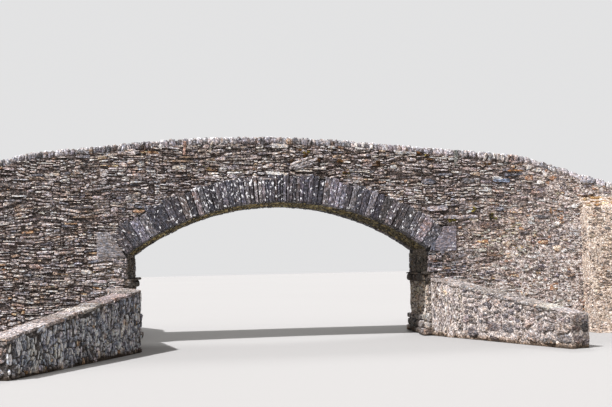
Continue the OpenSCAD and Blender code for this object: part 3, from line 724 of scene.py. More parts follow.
# ---------------------------------------------------------------- sizes of stones by place
SLIP_SHARE, SLIP_H = 0.22, 0.060
PATCHES = [(7.5, 3.2, 1.3, 0.8, (1.25, 1.08, 0.90)), (5.55, 2.5, 1.0, 0.6, (0.50, 0.53, 0.59)), (6.2, 5.4, 1.6, 0.9, (1.10, 1.07, 1.07)), (9.6, 3.5, 1.2, 1.2, (0.90, 0.90, 0.92)), (-4.1, 4.95, 2.6, 0.85, (0.78, 0.80, 0.84))]
def rubble_size(rng, u, v, side=1):
    """Thin long schist on the crown and the left, shorter and rounder stones to the right."""
    t = smooth_step(side * u, 4.5, 9.5)
    big = 1.7 if rng.random() < 0.08 else 1.0
    w = math.exp(rng.normal(math.log(0.31 - 0.12 * t), 0.48)) * big
    h = math.exp(rng.normal(math.log(0.074 + 0.014 * t), 0.32)) * big
    if rng.random() < SLIP_SHARE:
        h = rng.uniform(0.032, 0.054)
    return min(max(w, 0.07), 0.9), min(max(h, 0.032), 0.26)


GRADES = (0.018, 0.036, 0.070)


def m_in(cells, v0, v1):
    """Which cells have their middle between two heights."""
    m = (cells[:, 2] + cells[:, 3]) / 2
    return (m > v0) & (m < v1)


def wall(heap, rng, place, u0, u1, foot, top, size, palette, proud=(0.014, 0.046), other=None, share=None, hide=None, look=None, own=(), own_heap=None, **form):
    """Lays one wall face. hide(u, v) marks stones that another piece covers; look(centres) gives the share of the other palette;
    own lists stones with a place and tint of their own."""
    cells = lay(rng, u0, u1, foot, top, size)
    own = np.array(own, float).reshape(-1, 7)
    for a0, a1, b0, b1 in own[:, :4]:
        m = cells.reshape(-1, 2, 2).mean(-1)
        cells = cells[(m[:, 0] < a0) | (m[:, 0] > a1) | (m[:, 1] < b0) | (m[:, 1] > b1)]
        cells[:, 1] = np.where((cells[:, 0] < a0) & (cells[:, 1] > a0) & (m_in(cells, b0, b1)), a0, cells[:, 1])
        cells[:, 0] = np.where((cells[:, 1] > a1) & (cells[:, 0] < a1) & (m_in(cells, b0, b1)), a1, cells[:, 0])
    quads = corners_of(rng, cells, foot, top, **{k: form.pop(k) for k in ("gap", "wave", "skew", "turn", "taper") if k in form})
    if hide is not None:
        mid = quads.mean(1)
        quads = quads[~hide(mid[:, 0], mid[:, 1])]
    mid = quads.mean(1)
    n = len(quads)
    if look is not None:
        share = look(mid)
    tint = tints(rng, n, palette, other=other, share=share)
    out = proud[0] + (proud[1] - proud[0]) * rng.random(n) ** 1.3
    if palette is SCHIST:
        # thin slips: a quarter are set back and painted nearly black as shade in deep pockets, and a quarter are
        # painted paler as highlights on lit stone edges
        thin = (quads[:, 2] + quads[:, 3] - quads[:, 0] - quads[:, 1])[:, 1] / 2 < SLIP_H
        draw = rng.random(n)
        tint[:, :3] = np.minimum(tint[:, :3] * np.where(thin & (draw < 0.25), 0.14, np.where(thin & (draw > 0.75), 1.5, 1.0))[:, None], 0.84)
        out = np.where(thin & (draw < 0.25), 0.004, out)
        for x, z, broad, high, shade in PATCHES if place.front else ():
            far = np.hypot((mid[:, 0] - x) / broad, (mid[:, 1] - z) / high)
            tint[:, :3] = np.minimum(tint[:, :3] * (1 + (np.array(shade) - 1) * smooth_step(far, 1.3, 0.5)[:, None]), 0.84)
    if len(own):
        ends = own[:, [[0, 1, 1, 0], [2, 2, 3, 3]]].transpose(0, 2, 1)
        ends[:, [0, 3], 1] += (ends[:, 3:, 1] - ends[:, :1, 1]) * rng.uniform(0.0, 0.35, (len(own), 1)) * np.array([1, -1])
        ends[:, [1, 2], 1] += (ends[:, 2:3, 1] - ends[:, 1:2, 1]) * rng.uniform(0.0, 0.35, (len(own), 1)) * np.array([1, -1])
        studs(own_heap, rng, ends + rng.normal(0, 0.010, ends.shape), place, np.full(len(own), proud[1] + 0.006),
              np.concatenate([own[:, 4:], np.full((len(own), 1), 0.3)], 1), mids=2, rings=3, cut=(0.15, 0.42), reach=(0.4, 1.3))
    area = np.abs(quads[:, 2, 0] - quads[:, 0, 0]) * np.abs(quads[:, 2, 1] - quads[:, 0, 1])
    kind = np.digitize(area, GRADES)
    for grade, (mids, rings) in enumerate(((0, 2), (0, 3), (1, 3), (2, 4))):
        these = kind == grade
        studs(heap, rng, quads[these], place, out[these], tint[these], mids=mids, rings=rings, **form)
    return n


# ---------------------------------------------------------------- the two wall faces
def face_foot(u):
    u = np.abs(u)
    arc = ARC_Z + np.sqrt(np.maximum(R_OUT**2 - u * u, 0)) - 0.14
    return np.where(u < HALF_SPAN, arc, 0.0)


STONE_COUNT = 0
# the stones that stand out in the photograph: x0, x1, z0, z1 and tint
NOTABLE = [(4.95, 5.67, 4.07, 4.37, 0.265, 0.250, 0.275), (5.52, 6.69, 3.83, 4.02, 0.290, 0.268, 0.285), (5.19, 5.84, 5.30, 5.42, 0.150, 0.150, 0.175),
           (4.80, 5.28, 4.98, 5.24, 0.110, 0.112, 0.135), (6.15, 6.62, 5.00, 5.26, 0.120, 0.118, 0.130), (7.25, 7.82, 5.05, 5.19, 0.200, 0.250, 0.360),
           (7.75, 8.30, 5.43, 5.50, 0.330, 0.170, 0.075), (7.66, 8.30, 5.26, 5.41, 0.095, 0.100, 0.125), (8.78, 9.03, 4.96, 5.13, 0.800, 0.780, 0.760),
           (9.29, 9.52, 3.56, 3.73, 0.820, 0.800, 0.780), (9.94, 10.15, 4.12, 4.30, 0.800, 0.770, 0.740), (6.72, 7.46, 3.47, 3.80, 0.135, 0.110, 0.108),
           (8.72, 9.29, 3.80, 3.96, 0.125, 0.125, 0.140), (9.24, 9.50, 2.67, 2.95, 0.660, 0.540, 0.430), (8.09, 8.46, 3.27, 3.41, 0.105, 0.100, 0.110),
           (10.30, 10.83, 4.97, 5.17, 0.230, 0.230, 0.260), (7.25, 7.60, 4.10, 4.24, 0.170, 0.185, 0.230),
           (1.16, 1.57, 5.55, 5.64, 0.480, 0.455, 0.450), (-0.52, -0.36, 5.61, 5.75, 0.600, 0.590, 0.600),
           # the last four, near black, are painted shade of deep holes
           (1.25, 1.41, 5.43, 5.51, 0.014, 0.012, 0.011), (1.53, 1.66, 5.40, 5.47, 0.012, 0.010, 0.009), (1.92, 2.04, 5.24, 5.32, 0.014, 0.012, 0.011),
           (2.87, 3.00, 5.05, 5.11, 0.014, 0.012, 0.011)]
# and those grown over with moss: x0, x1, z0, z1
MOSSY = [(4.67, 4.85, 5.99, 6.11), (4.90, 5.02, 5.96, 6.06), (6.45, 6.63, 4.08, 4.27), (5.60, 5.96, 3.72, 3.88),
         (7.06, 7.41, 3.83, 4.00), (0.66, 0.79, 6.17, 6.28), (0.84, 1.02, 6.02, 6.18), (0.38, 0.53, 5.80, 5.92),
         (1.25, 1.37, 5.83, 5.89), (1.98, 2.10, 5.82, 5.89), (2.18, 2.33, 5.42, 5.57), (3.30, 3.40, 5.72, 5.82),
         (6.96, 7.17, 5.66, 5.83), (10.20, 10.75, 4.47, 4.62)]
for face, name in ((-1, "front"), (1, "back")):
    rng = np.random.default_rng(100 + face)
    # the back face is laid as seen from behind, so its u runs towards -X
    way = -face
    place = plane((0, face * HALF_W, 0), (way, 0, 0), (0, 0, 1))
    heap = Heap()

    def hidden(u, v, way=way):
        x = u * way
        wing = (np.abs(x) > HALF_SPAN + 0.03) & (np.abs(x) < HALF_SPAN + WING_T - 0.06) & (v < WING_NEAR - 0.12)
        buttress = (np.abs(x) > BUTT_X + 0.12) & (np.abs(x) < BUTT_X + BUTT_W - 0.12) & (v < BUTT_Z + 0.2)
        return wing | buttress

    def limed(mid, way=way):
        x = mid[:, 0] * way
        wobble = 1.6 * noise(np.concatenate([mid, np.zeros((len(mid), 1))], -1), 0.5, 77)
        return 0.9 * smooth_step(x + wobble - 0.8 * (mid[:, 1] - 3.8), 3.5, 9.0) + 0.02

    for side in (-1, 1):
        # the two halves are laid alike over the whole wall, and each keeps its own stones
        heap = Heap()
        marked = marked if side > 0 else Heap()
        rng = np.random.default_rng(100 + face)
        STONE_COUNT += wall(heap, rng, place, -HALF_LEN, HALF_LEN, face_foot, lambda u, way=way: road(u * way) + PARAPET_H,
                            lambda g, u, v, way=way: rubble_size(g, u, v, way), SCHIST, other=LIMED, look=limed,
                            hide=lambda u, v, side=side, way=way: hidden(u, v) | (u * way * side < 0),
                            own=[n for n in NOTABLE if face < 0 and n[0] * side > 0], own_heap=marked)
        heap.mesh("wall_stones_%s_%s" % (name, "left" if side < 0 else "right"), rubble, "schist_rubble")
    if face < 0:
        marked.mesh("marked_stones", marked_stone, "schist_rubble")
        tufts = []
        for x0, x1, z0, z1 in MOSSY:
            for _ in range(6):
                x, z, size = rng.uniform(x0, x1), rng.uniform(z0, z1), rng.uniform(0.03, 0.07)
                tufts.append(box_corners(x - size, x + size, -HALF_W - rng.uniform(0.03, 0.07), -HALF_W + 0.02, z - 0.7 * size, z + 0.7 * size)[0])
        mossy = Heap()
        blocks(mossy, rng, np.array(tufts), tints(rng, len(tufts), MOSS, 0.3, GREEN_MOSS, np.array([4.8 < t[0, 0, 0, 0] < 9 and t[0, 0, 0, 2] < 5 for t in tufts])), seg=(2, 1, 2), round_=0.035, rough=0.022, scale=9.0, seed=88)
        mossy.mesh("mossy_stones", moss_look, "schist_rubble")
    coat = Heap()

    def wall_coat(p):
        t = smooth_step(p[..., 0] - 0.5 * (p[..., 2] - 3.5), 3.0, 9.0)
        return 0.020 * t - 0.006, 0.009 + 0.008 * t

    step = 0.055 if face < 0 else 0.08
    for x0, x1, foot in ((HALF_SPAN, HALF_LEN, lambda u: 0.0 * u), (1.0, HALF_SPAN, lambda u: face_foot(u * 0.9999))):
        u0, u1 = sorted((x0 * way, x1 * way))
        skin(coat, place, u0, u1, foot, lambda u, way=way: road(u * way) + PARAPET_H, step, wall_coat)
    coat.mesh("wall_mortar_" + name, wall_mortar, "schist_rubble")

    # inner face of the parapet
    heap = Heap()
    inner = plane((0, face * (HALF_W - WALL_T), 0), (-way, 0, 0), (0, 0, 1))
    STONE_COUNT += wall(heap, rng, inner, -HALF_LEN, HALF_LEN, lambda u, way=way: road(-u * way) - 0.01, lambda u, way=way: road(-u * way) + PARAPET_H,
                        lambda g, u, v, way=way: rubble_size(g, u, v, -way), SCHIST, other=LIMED, share=0.35)
    heap.mesh("parapet_stones_" + name, rubble, "schist_rubble")

# ---------------------------------------------------------------- ends of the bridge
rng = np.random.default_rng(7)
heap = Heap()
for side in (-1, 1):
    end = plane((side * HALF_LEN, 0, 0), (0, side, 0), (0, 0, 1))
    STONE_COUNT += wall(heap, rng, end, -HALF_W, HALF_W, lambda u: 0.0 * u,
                        lambda u: np.where(np.abs(u) < HALF_W - WALL_T, ROAD_AT[0 if side < 0 else -1] - 0.02, ROAD_AT[0 if side < 0 else -1] + PARAPET_H),
                        lambda g, u, v: rubble_size(g, 6 * side, v), SCHIST, other=LIMED, share=0.3 + 0.3 * side)
heap.mesh("end_stones", rubble, "schist_rubble")

# ---------------------------------------------------------------- corner stones
rng = np.random.default_rng(11)
made, shades = [], []
for side in (-1, 1):
    for face in (-1, 1):
        top = float(ROAD_AT[0 if side < 0 else -1]) + PARAPET_H
        turned = corner_stones(rng, side * HALF_LEN, face * HALF_W, side, face, 0.0, top)
        made += turned
        shades.append(tints(rng, len(turned), SCHIST, other=LIMED, share=0.3 + 0.3 * side))
        turned = corner_stones(rng, side * HALF_SPAN, face * HALF_W, -side, face, LEDGE_Z, QUOIN_Z, 0.03)
        made += turned
        # the corner stones by the springing are painted darker as shade under the arch
        shades.append(tints(rng, len(turned), SCHIST) * [0.55, 0.56, 0.60, 1])
heap = Heap()
blocks(heap, rng, np.array(made), np.concatenate(shades), seg=(2, 2, 1), round_=0.022, rough=0.012, scale=5.0, seed=70)
heap.clamp(0.0)
heap.mesh("corner_stones", rubble, "schist_rubble")

# ---------------------------------------------------------------- ring stones
for face, name in ((-1, "front"), (1, "back")):
    rng = np.random.default_rng(300 + face)
    corners, shades = [], []
    base_tints = tints(rng, STONES, SLATE, spread=0.34)
    for i in range(STONES):
        gap = math.degrees((rng.uniform(0.004, 0.014) if rng.random() < 0.75 else rng.uniform(0.028, 0.042)) / 2 / (R_IN + RING_T / 2))
        first, last = joint_angle(i) + gap, joint_angle(i + 1) - gap
        width = math.radians(last - first) * R_OUT
        # wide stones are often split along their bed
        cuts = [first, last]
        if width > 0.24 and rng.random() < 0.3:
            cuts.insert(1, first + (last - first) * rng.uniform(0.3, 0.7))
        out = 0.018 + 0.026 * uneven(i, face + 8) + 0.012
        for a0, a1 in zip(cuts[:-1], cuts[1:]):
            a0, a1 = math.radians(a0), math.radians(a1) - 0.0004
            lap = min(rng.normal(-0.02, 0.045), 0.06)
            stand = out + rng.uniform(0, 0.02)
            r0 = R_IN - rng.uniform(0.004, 0.016)
            c = np.zeros((2, 2, 2, 3))
            for p, a in enumerate((a0, a1)):
                for q in (0, 1):
                    r = r0 if q == 0 else R_OUT + lap + rng.uniform(-0.025, 0.025)
                    lean = rng.uniform(-0.008, 0.008)
                    for k, y in enumerate((face * (HALF_W - RING_Y), face * (HALF_W + stand + lean))):
                        c[p, q, k] = (r * math.sin(a), y, ARC_Z + r * math.cos(a))
            corners.append(c)
            shades.append(base_tints[i] * [*np.full(3, math.exp(rng.normal(0, 0.10))), 1])
    corners, tint = np.array(corners), np.array(shades)
    heap = Heap()
    wide = np.linalg.norm(corners[:, 1, 1, 1] - corners[:, 0, 1, 1], axis=-1) > 0.2
    for chosen, seg in ((wide, (4, 9, 3)), (~wide, (2, 9, 3))):
        blocks(heap, rng, corners[chosen], tint[chosen], seg=seg, round_=0.020, rough=0.013, scale=6.0, grain_axes=(1, 0, 2), seed=40, stretch=(1, 0.4, 1))
    heap.mesh("ring_stones_" + name, slate, "ring_stone")

# ---------------------------------------------------------------- skewback stones and big slabs
rng = np.random.default_rng(17)
heap = Heap()
for face in (-1, 1):
    for side in (-1, 1):
        out = HALF_W + 0.05
        shape = [[(HALF_SPAN - 0.008, QUOIN_Z), (SKEW_X - 0.02, SKEW_Z + 0.01)], [(PIER_X + 0.01, QUOIN_Z), (PIER_X + 0.02, SKEW_Z + 0.02)]]
        c = np.zeros((1, 2, 2, 2, 3))
        for i in (0, 1):
            for j in (0, 1):
                for k, y in enumerate((HALF_W - RING_Y, out)):
                    c[0, i, j, k] = (side * shape[i][j][0], face * y, shape[i][j][1])
        blocks(heap, rng, c, tints(rng, 1, [(1, (0.222, 0.217, 0.235))], 0.05), seg=(6, 6, 3), round_=0.02, rough=0.008, scale=4.0, seed=50)
heap.mesh("skewback_stones", slab, "ring_stone")

# ---------------------------------------------------------------- soffit
rng = np.random.default_rng(23)
heap = Heap()
arc = R_IN * math.radians(ARC_HALF) - 0.01
STONE_COUNT += wall(heap, rng, soffit_place, -(HALF_W - RING_Y) + 0.01, HALF_W - RING_Y - 0.01, lambda u: -arc + 0.0 * u, lambda u: arc + 0.0 * u,
                    lambda g, u, v: (min(max(math.exp(g.normal(math.log(0.5), 0.3)), 0.25), 0.9), min(max(math.exp(g.normal(math.log(0.13), 0.25)), 0.07), 0.24)),
                    SOFFIT_TONE_AND_PAINTED_BOUNCE, proud=(0.003, 0.022), other=[(w, tuple(0.5 * np.array(c))) for w, c in SOFFIT_TONE_AND_PAINTED_BOUNCE], look=lambda mid: smooth_step(mid[:, 1], 0.0, 4.5))
heap.mesh("soffit_stones", under, "vault_stone")

# ---------------------------------------------------------------- abutment faces
rng = np.random.default_rng(29)
heap = Heap()


def pier_size(g, u, v):
    return min(max(math.exp(g.normal(math.log(0.42), 0.35)), 0.2), 0.9), min(max(math.exp(g.normal(math.log(0.16), 0.25)), 0.09), 0.3)


for side in (-1, 1):
    river = plane((side * HALF_SPAN, 0, 0), (0, -side, 0), (0, 0, 1))
    for z0, z1 in ((0.0, LEDGE_Z - LEDGE_T), (LEDGE_Z, QUOIN_Z)):
        # the upper shaft is painted as shade throughout, and the lower shaft near the front takes a darker copy of the
        # pier tints as painted shade
        STONE_COUNT += wall(heap, rng, river, -HALF_W, HALF_W, lambda u, z0=z0: z0 + 0.0 * u, lambda u, z1=z1: z1 + 0.0 * u, pier_size,
                            SHADED if z0 else PIER_TONE_AND_PAINTED_BOUNCE, proud=(0.01, 0.035), other=SHADED if z0 else [(w, tuple(0.45 * np.array(c))) for w, c in PIER_TONE_AND_PAINTED_BOUNCE],
                            look=lambda mid, side=side: smooth_step(side * mid[:, 0], 0.95, 1.25))
heap.mesh("abutment_stones", pier_stone, "pier_stone")


def boulders(rng, side, z0, z1, length, reach, foot=0.0):
    """A rough course of stones along the river face of an abutment, each with its own reach and height."""
    made, y = [], -HALF_W - rng.uniform(0.0, 0.03)
    while y < HALF_W - 0.1:
        w = min(rng.uniform(*length), HALF_W + rng.uniform(0.0, 0.03) - y)
        w = HALF_W - y if HALF_W - y - w < 0.5 * length[0] else w
        x = sorted((side * (HALF_SPAN - rng.uniform(*reach)), side * (HALF_SPAN + 0.25)))
        c = box_corners(*x, y + 0.006, y + w - 0.006, z0 + rng.uniform(0, foot), z1 - rng.uniform(0, 0.05))[0]
        c[..., 0] -= side * rng.uniform(-0.04, 0.02, (2, 2, 2)) * (np.abs(c[..., 0]) < HALF_SPAN)
        made.append(c)
        y += w
    return np.array(made)


rng = np.random.default_rng(31)
heap = Heap()
for side in (-1, 1):
    # the lower course is painted darker than the upper as shade under the ledge
    for z0, z1, length, reach, foot, shade in ((LEDGE_Z - LEDGE_T - 0.02, LEDGE_Z - 0.06, (0.25, 0.6), (0.55 * LEDGE_OUT, 1.05 * LEDGE_OUT), 0.10, (0.075, 0.067, 0.060)),
                                               (LEDGE_Z - 0.08, LEDGE_Z + 0.03, (0.45, 1.1), (0.60 * LEDGE_OUT, LEDGE_OUT), 0.03, (0.125, 0.113, 0.104))):
        c = boulders(rng, side, z0, z1, length, reach, foot)
        blocks(heap, rng, c, tints(rng, len(c), [(1, shade)], 0.35), seg=(3, 6, 3), round_=0.05, rough=0.022, scale=6.0, seed=60)
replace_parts(heap.mesh("ledge_stones", pier_stone, "ledge_stone"), "ledge_left", "ledge_right")
heap = Heap()
for side in (-1, 1):
    for z0, z1, length, reach in ((0.0, 0.34 * FOOTING_H, (0.4, 0.9), (0.55 * FOOTING_OUT, 1.1 * FOOTING_OUT)),
                                  (0.31 * FOOTING_H, 0.74 * FOOTING_H, (0.35, 0.8), (0.45 * FOOTING_OUT, FOOTING_OUT)),
                                  (0.70 * FOOTING_H, 1.02 * FOOTING_H, (0.3, 0.7), (0.20 * FOOTING_OUT, 0.75 * FOOTING_OUT))):
        c = boulders(rng, side, z0, z1, length, reach)
        blocks(heap, rng, c, tints(rng, len(c), [(1, (0.240, 0.228, 0.222))], 0.5), seg=(4, 6, 4), round_=0.085, rough=0.03, scale=4.5, seed=66)
heap.clamp(0.0)
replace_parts(heap.mesh("footing_stones", pier_stone, "footing_stone"), "footings")

# ---------------------------------------------------------------- coping of lumps and slabs on edge
COPING_TOP = PARAPET_H + COPING_H
for face, name in ((-1, "front"), (1, "back")):
    rng = np.random.default_rng(400 + face)
    edges = [-HALF_LEN + 0.004]
    while edges[-1] < HALF_LEN - 0.36:
        edges.append(edges[-1] + min(max(math.exp(rng.normal(math.log(0.15 if edges[-1] < 4.5 else 0.20), 0.42)), 0.075), 0.42))
    edges += [(edges[-1] + HALF_LEN - 0.004) / 2, HALF_LEN - 0.004]
    edges = np.array(edges)
    n = len(edges) - 1
    x0, x1 = edges[:-1] + rng.uniform(-0.016, 0.006, n), edges[1:] - rng.uniform(-0.016, 0.006, n)
    mid, broad = (x0 + x1) / 2, x1 - x0
    base = road(mid) + PARAPET_H - 0.035
    tall = COPING_H * (1.07 - 0.12 * rng.random(n) ** 2) + 0.035
    lean = rng.normal(0, 0.03, n)
    y_in = HALF_W - WALL_T - rng.uniform(0.0, 0.040, n)
    y_out = HALF_W + rng.uniform(0.000, 0.050, n)
    c = box_corners(x0, x1, face * y_in, face * y_out, base, base + tall)
    c[:, :, :, 1, 0] += lean[:, None, None]
    c[..., 0] = np.clip(c[..., 0] + rng.normal(0, 0.010, (n, 2, 2, 2)), -HALF_LEN, HALF_LEN)
    c[:, :, :, 1, 2] += rng.normal(0, 0.008, (n, 2, 2))
    c[:, :, :, 1, 2] = np.minimum(c[:, :, :, 1, 2], road(c[:, :, :, 1, 0]) + COPING_TOP + 0.03)
    slope = (road(mid + 0.1) - road(mid - 0.1)) / 0.2
    c[..., 2] += slope[:, None, None, None] * (c[..., 0] - mid[:, None, None, None])
    heap = Heap()
    shades = tints(rng, n, PALE, 0.26)
    shades[:, :3] = np.minimum(shades[:, :3] * (1 + smooth_step(mid, 6.5, 9.0))[:, None], 0.84)
    # the pale tops are partly weathered stone and partly a painted highlight
    blocks(heap, rng, c, shades, seg=(3, 3, 2), round_=0.080, rough=0.020, scale=5.5, grain_axes=(1, 0, 2), seed=80, bleach_and_highlight=0.95, dome=0.22)
    # mortar bed between the stones
    xs = np.linspace(-HALF_LEN, HALF_LEN, 253)
    ring = [(HALF_W - 0.02, PARAPET_H - 0.02), (HALF_W - 0.06, PARAPET_H + 0.165), (HALF_W - WALL_T + 0.06, PARAPET_H + 0.165), (HALF_W - WALL_T + 0.02, PARAPET_H - 0.02)]
    co = np.array([[(x, face * y, float(road(x)) + z) for y, z in ring] for x in xs])
    co[1:-1] += 0.010 * noise3(co[1:-1], 6.0, 90)
    quads = [[i * 4 + j, i * 4 + (j + 1) % 4, (i + 1) * 4 + (j + 1) % 4, (i + 1) * 4 + j] for i in range(len(xs) - 1) for j in range(4)]
    quads += [[3, 2, 1, 0], [len(xs) * 4 - 4 + j for j in range(4)]]
    quads = np.array(quads)
    if face > 0:
        quads = quads[:, ::-1]
    heap.add(co.reshape(-1, 3), quads, [], np.repeat([[0.13, 0.112, 0.105, 0.5]], co.size // 3, 0), co.reshape(-1, 3))
    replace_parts(heap.mesh("coping_slabs_" + name, coping_stone, "coping_stone"), "coping_" + name)

# stones of the front set upright or slanting: x and z of the head, of the foot, width and tint
UPRIGHTS = [(-3.04, 6.56, -3.09, 6.10, 0.08, 0.330, 0.215, 0.175), (-3.86, 6.47, -3.84, 6.30, 0.07, 0.700, 0.680, 0.660),
            (-2.16, 6.55, -2.26, 6.18, 0.07, 0.400, 0.370, 0.330), (-4.35, 6.41, -4.37, 6.24, 0.06, 0.045, 0.034, 0.030),
            (-4.14, 6.39, -4.14, 6.22, 0.06, 0.045, 0.034, 0.030), (2.60, 6.46, 2.61, 6.25, 0.07, 0.720, 0.690, 0.660),
            (2.85, 6.45, 2.83, 6.30, 0.09, 0.700, 0.670, 0.640), (3.14, 6.42, 3.12, 6.25, 0.07, 0.700, 0.670, 0.640),
            (5.99, 6.17, 5.99, 5.65, 0.12, 0.145, 0.150, 0.140), (7.21, 6.08, 7.13, 5.78, 0.09, 0.230, 0.228, 0.225),
            (7.33, 6.06, 7.29, 5.88, 0.08, 0.640, 0.600, 0.560), (7.48, 6.05, 7.44, 5.82, 0.08, 0.300, 0.270, 0.250),
            (7.64, 6.03, 7.61, 5.82, 0.08, 0.560, 0.520, 0.490), (7.06, 6.06, 6.95, 5.78, 0.08, 0.400, 0.370, 0.350),
            (7.83, 6.00, 7.74, 5.75, 0.08, 0.240, 0.225, 0.220), (8.99, 5.44, 9.10, 5.24, 0.11, 0.700, 0.650, 0.620),
            (1.30, 5.93, 0.36, 5.62, 0.09, 0.360, 0.330, 0.330), (1.32, 5.82, 0.50, 5.59, 0.06, 0.240, 0.225, 0.235),
            (1.12, 5.99, 0.38, 5.74, 0.08, 0.460, 0.425, 0.420), (5.14, 3.22, 5.09, 2.82, 0.14, 0.095, 0.100, 0.125)]
rng = np.random.default_rng(43)
corners = np.zeros((len(UPRIGHTS), 2, 2, 2, 3))
for number, (head_x, head_z, foot_x, foot_z, width, *_) in enumerate(UPRIGHTS):
    for i in (0, 1):
        for j, y in enumerate((-HALF_W + 0.06, -HALF_W - 0.062)):
            reach = math.hypot(head_x - foot_x, head_z - foot_z)
            for k, (x, z) in enumerate(((foot_x, foot_z), (head_x, head_z))):
                across = (i - 0.5) * width / reach
                corners[number, i, j, k] = (x + across * (head_z - foot_z), y, z - across * (head_x - foot_x))
heap = Heap()
blocks(heap, rng, corners, np.array([[*item[5:], 0.3] for item in UPRIGHTS]), seg=(2, 2, 5), round_=0.02, rough=0.012, scale=8.0, grain_axes=(2, 0, 1), seed=85)
heap.mesh("upright_stones", coping_stone, "coping_stone")

# ---------------------------------------------------------------- pitched road
rng = np.random.default_rng(37)
heap = Heap()


def road_place(u, v, n):
    return np.stack([u, v, road(u) + n], -1)


road_place.flip, road_place.front = False, False
STONE_COUNT += wall(heap, rng, road_place, -HALF_LEN, HALF_LEN, lambda u: -(HALF_W - WALL_T) + 0.0 * u, lambda u: (HALF_W - WALL_T) + 0.0 * u,
                    lambda g, u, v: (min(max(math.exp(g.normal(math.log(0.25), 0.3)), 0.13), 0.5), min(max(math.exp(g.normal(math.log(0.18), 0.25)), 0.1), 0.32)),
                    COBBLE, proud=(0.008, 0.024), gap=(0.010, 0.024), cut=(0.2, 0.42), reach=(0.2, 0.42), round_=0.16)
heap.mesh("road_cobbles", cobble_stone, "pitched_paving", smooth=True)


# ---------------------------------------------------------------- river walls
def river_coat(p):
    return 0.008, 0.014


def edge_coat(p):
    return 0.0, 0.010


def lime_coat(p):
    return 0.012, 0.011


def river_size(g, u, v):
    k = 1.9 if v < 0.4 else 1.0
    return min(max(math.exp(g.normal(math.log(0.31 * k), 0.38)), 0.10), 0.8), min(max(math.exp(g.normal(math.log(0.17 * k), 0.33)), 0.07), 0.45)


def edge_size(g, u, v):
    return min(max(math.exp(g.normal(math.log(0.17), 0.42)), 0.08), 0.42), min(max(math.exp(g.normal(math.log(0.075), 0.42)), 0.035), 0.19)


def runs_of(face, side):
    """Start, direction angle, length and end heights of the straight runs of a river wall, before mirroring."""
    if side > 0:
        return [((HALF_SPAN, -HALF_W), WING_FLARE, WING_LEN, WING_NEAR, WING_FAR)]
    toe = LEAD_IN if face < 0 else -LEAD_AWAY
    lead = math.hypot(LEAD_LEN, toe)
    turn = -math.degrees(math.atan2(toe, LEAD_LEN))
    return [((HALF_SPAN, -HALF_W), turn, lead, CORNER_Z, CORNER_Z),
            ((HALF_SPAN - toe, -HALF_W - LEAD_LEN), WING_FLARE, WING_LEN, CORNER_Z, WING_FAR)]


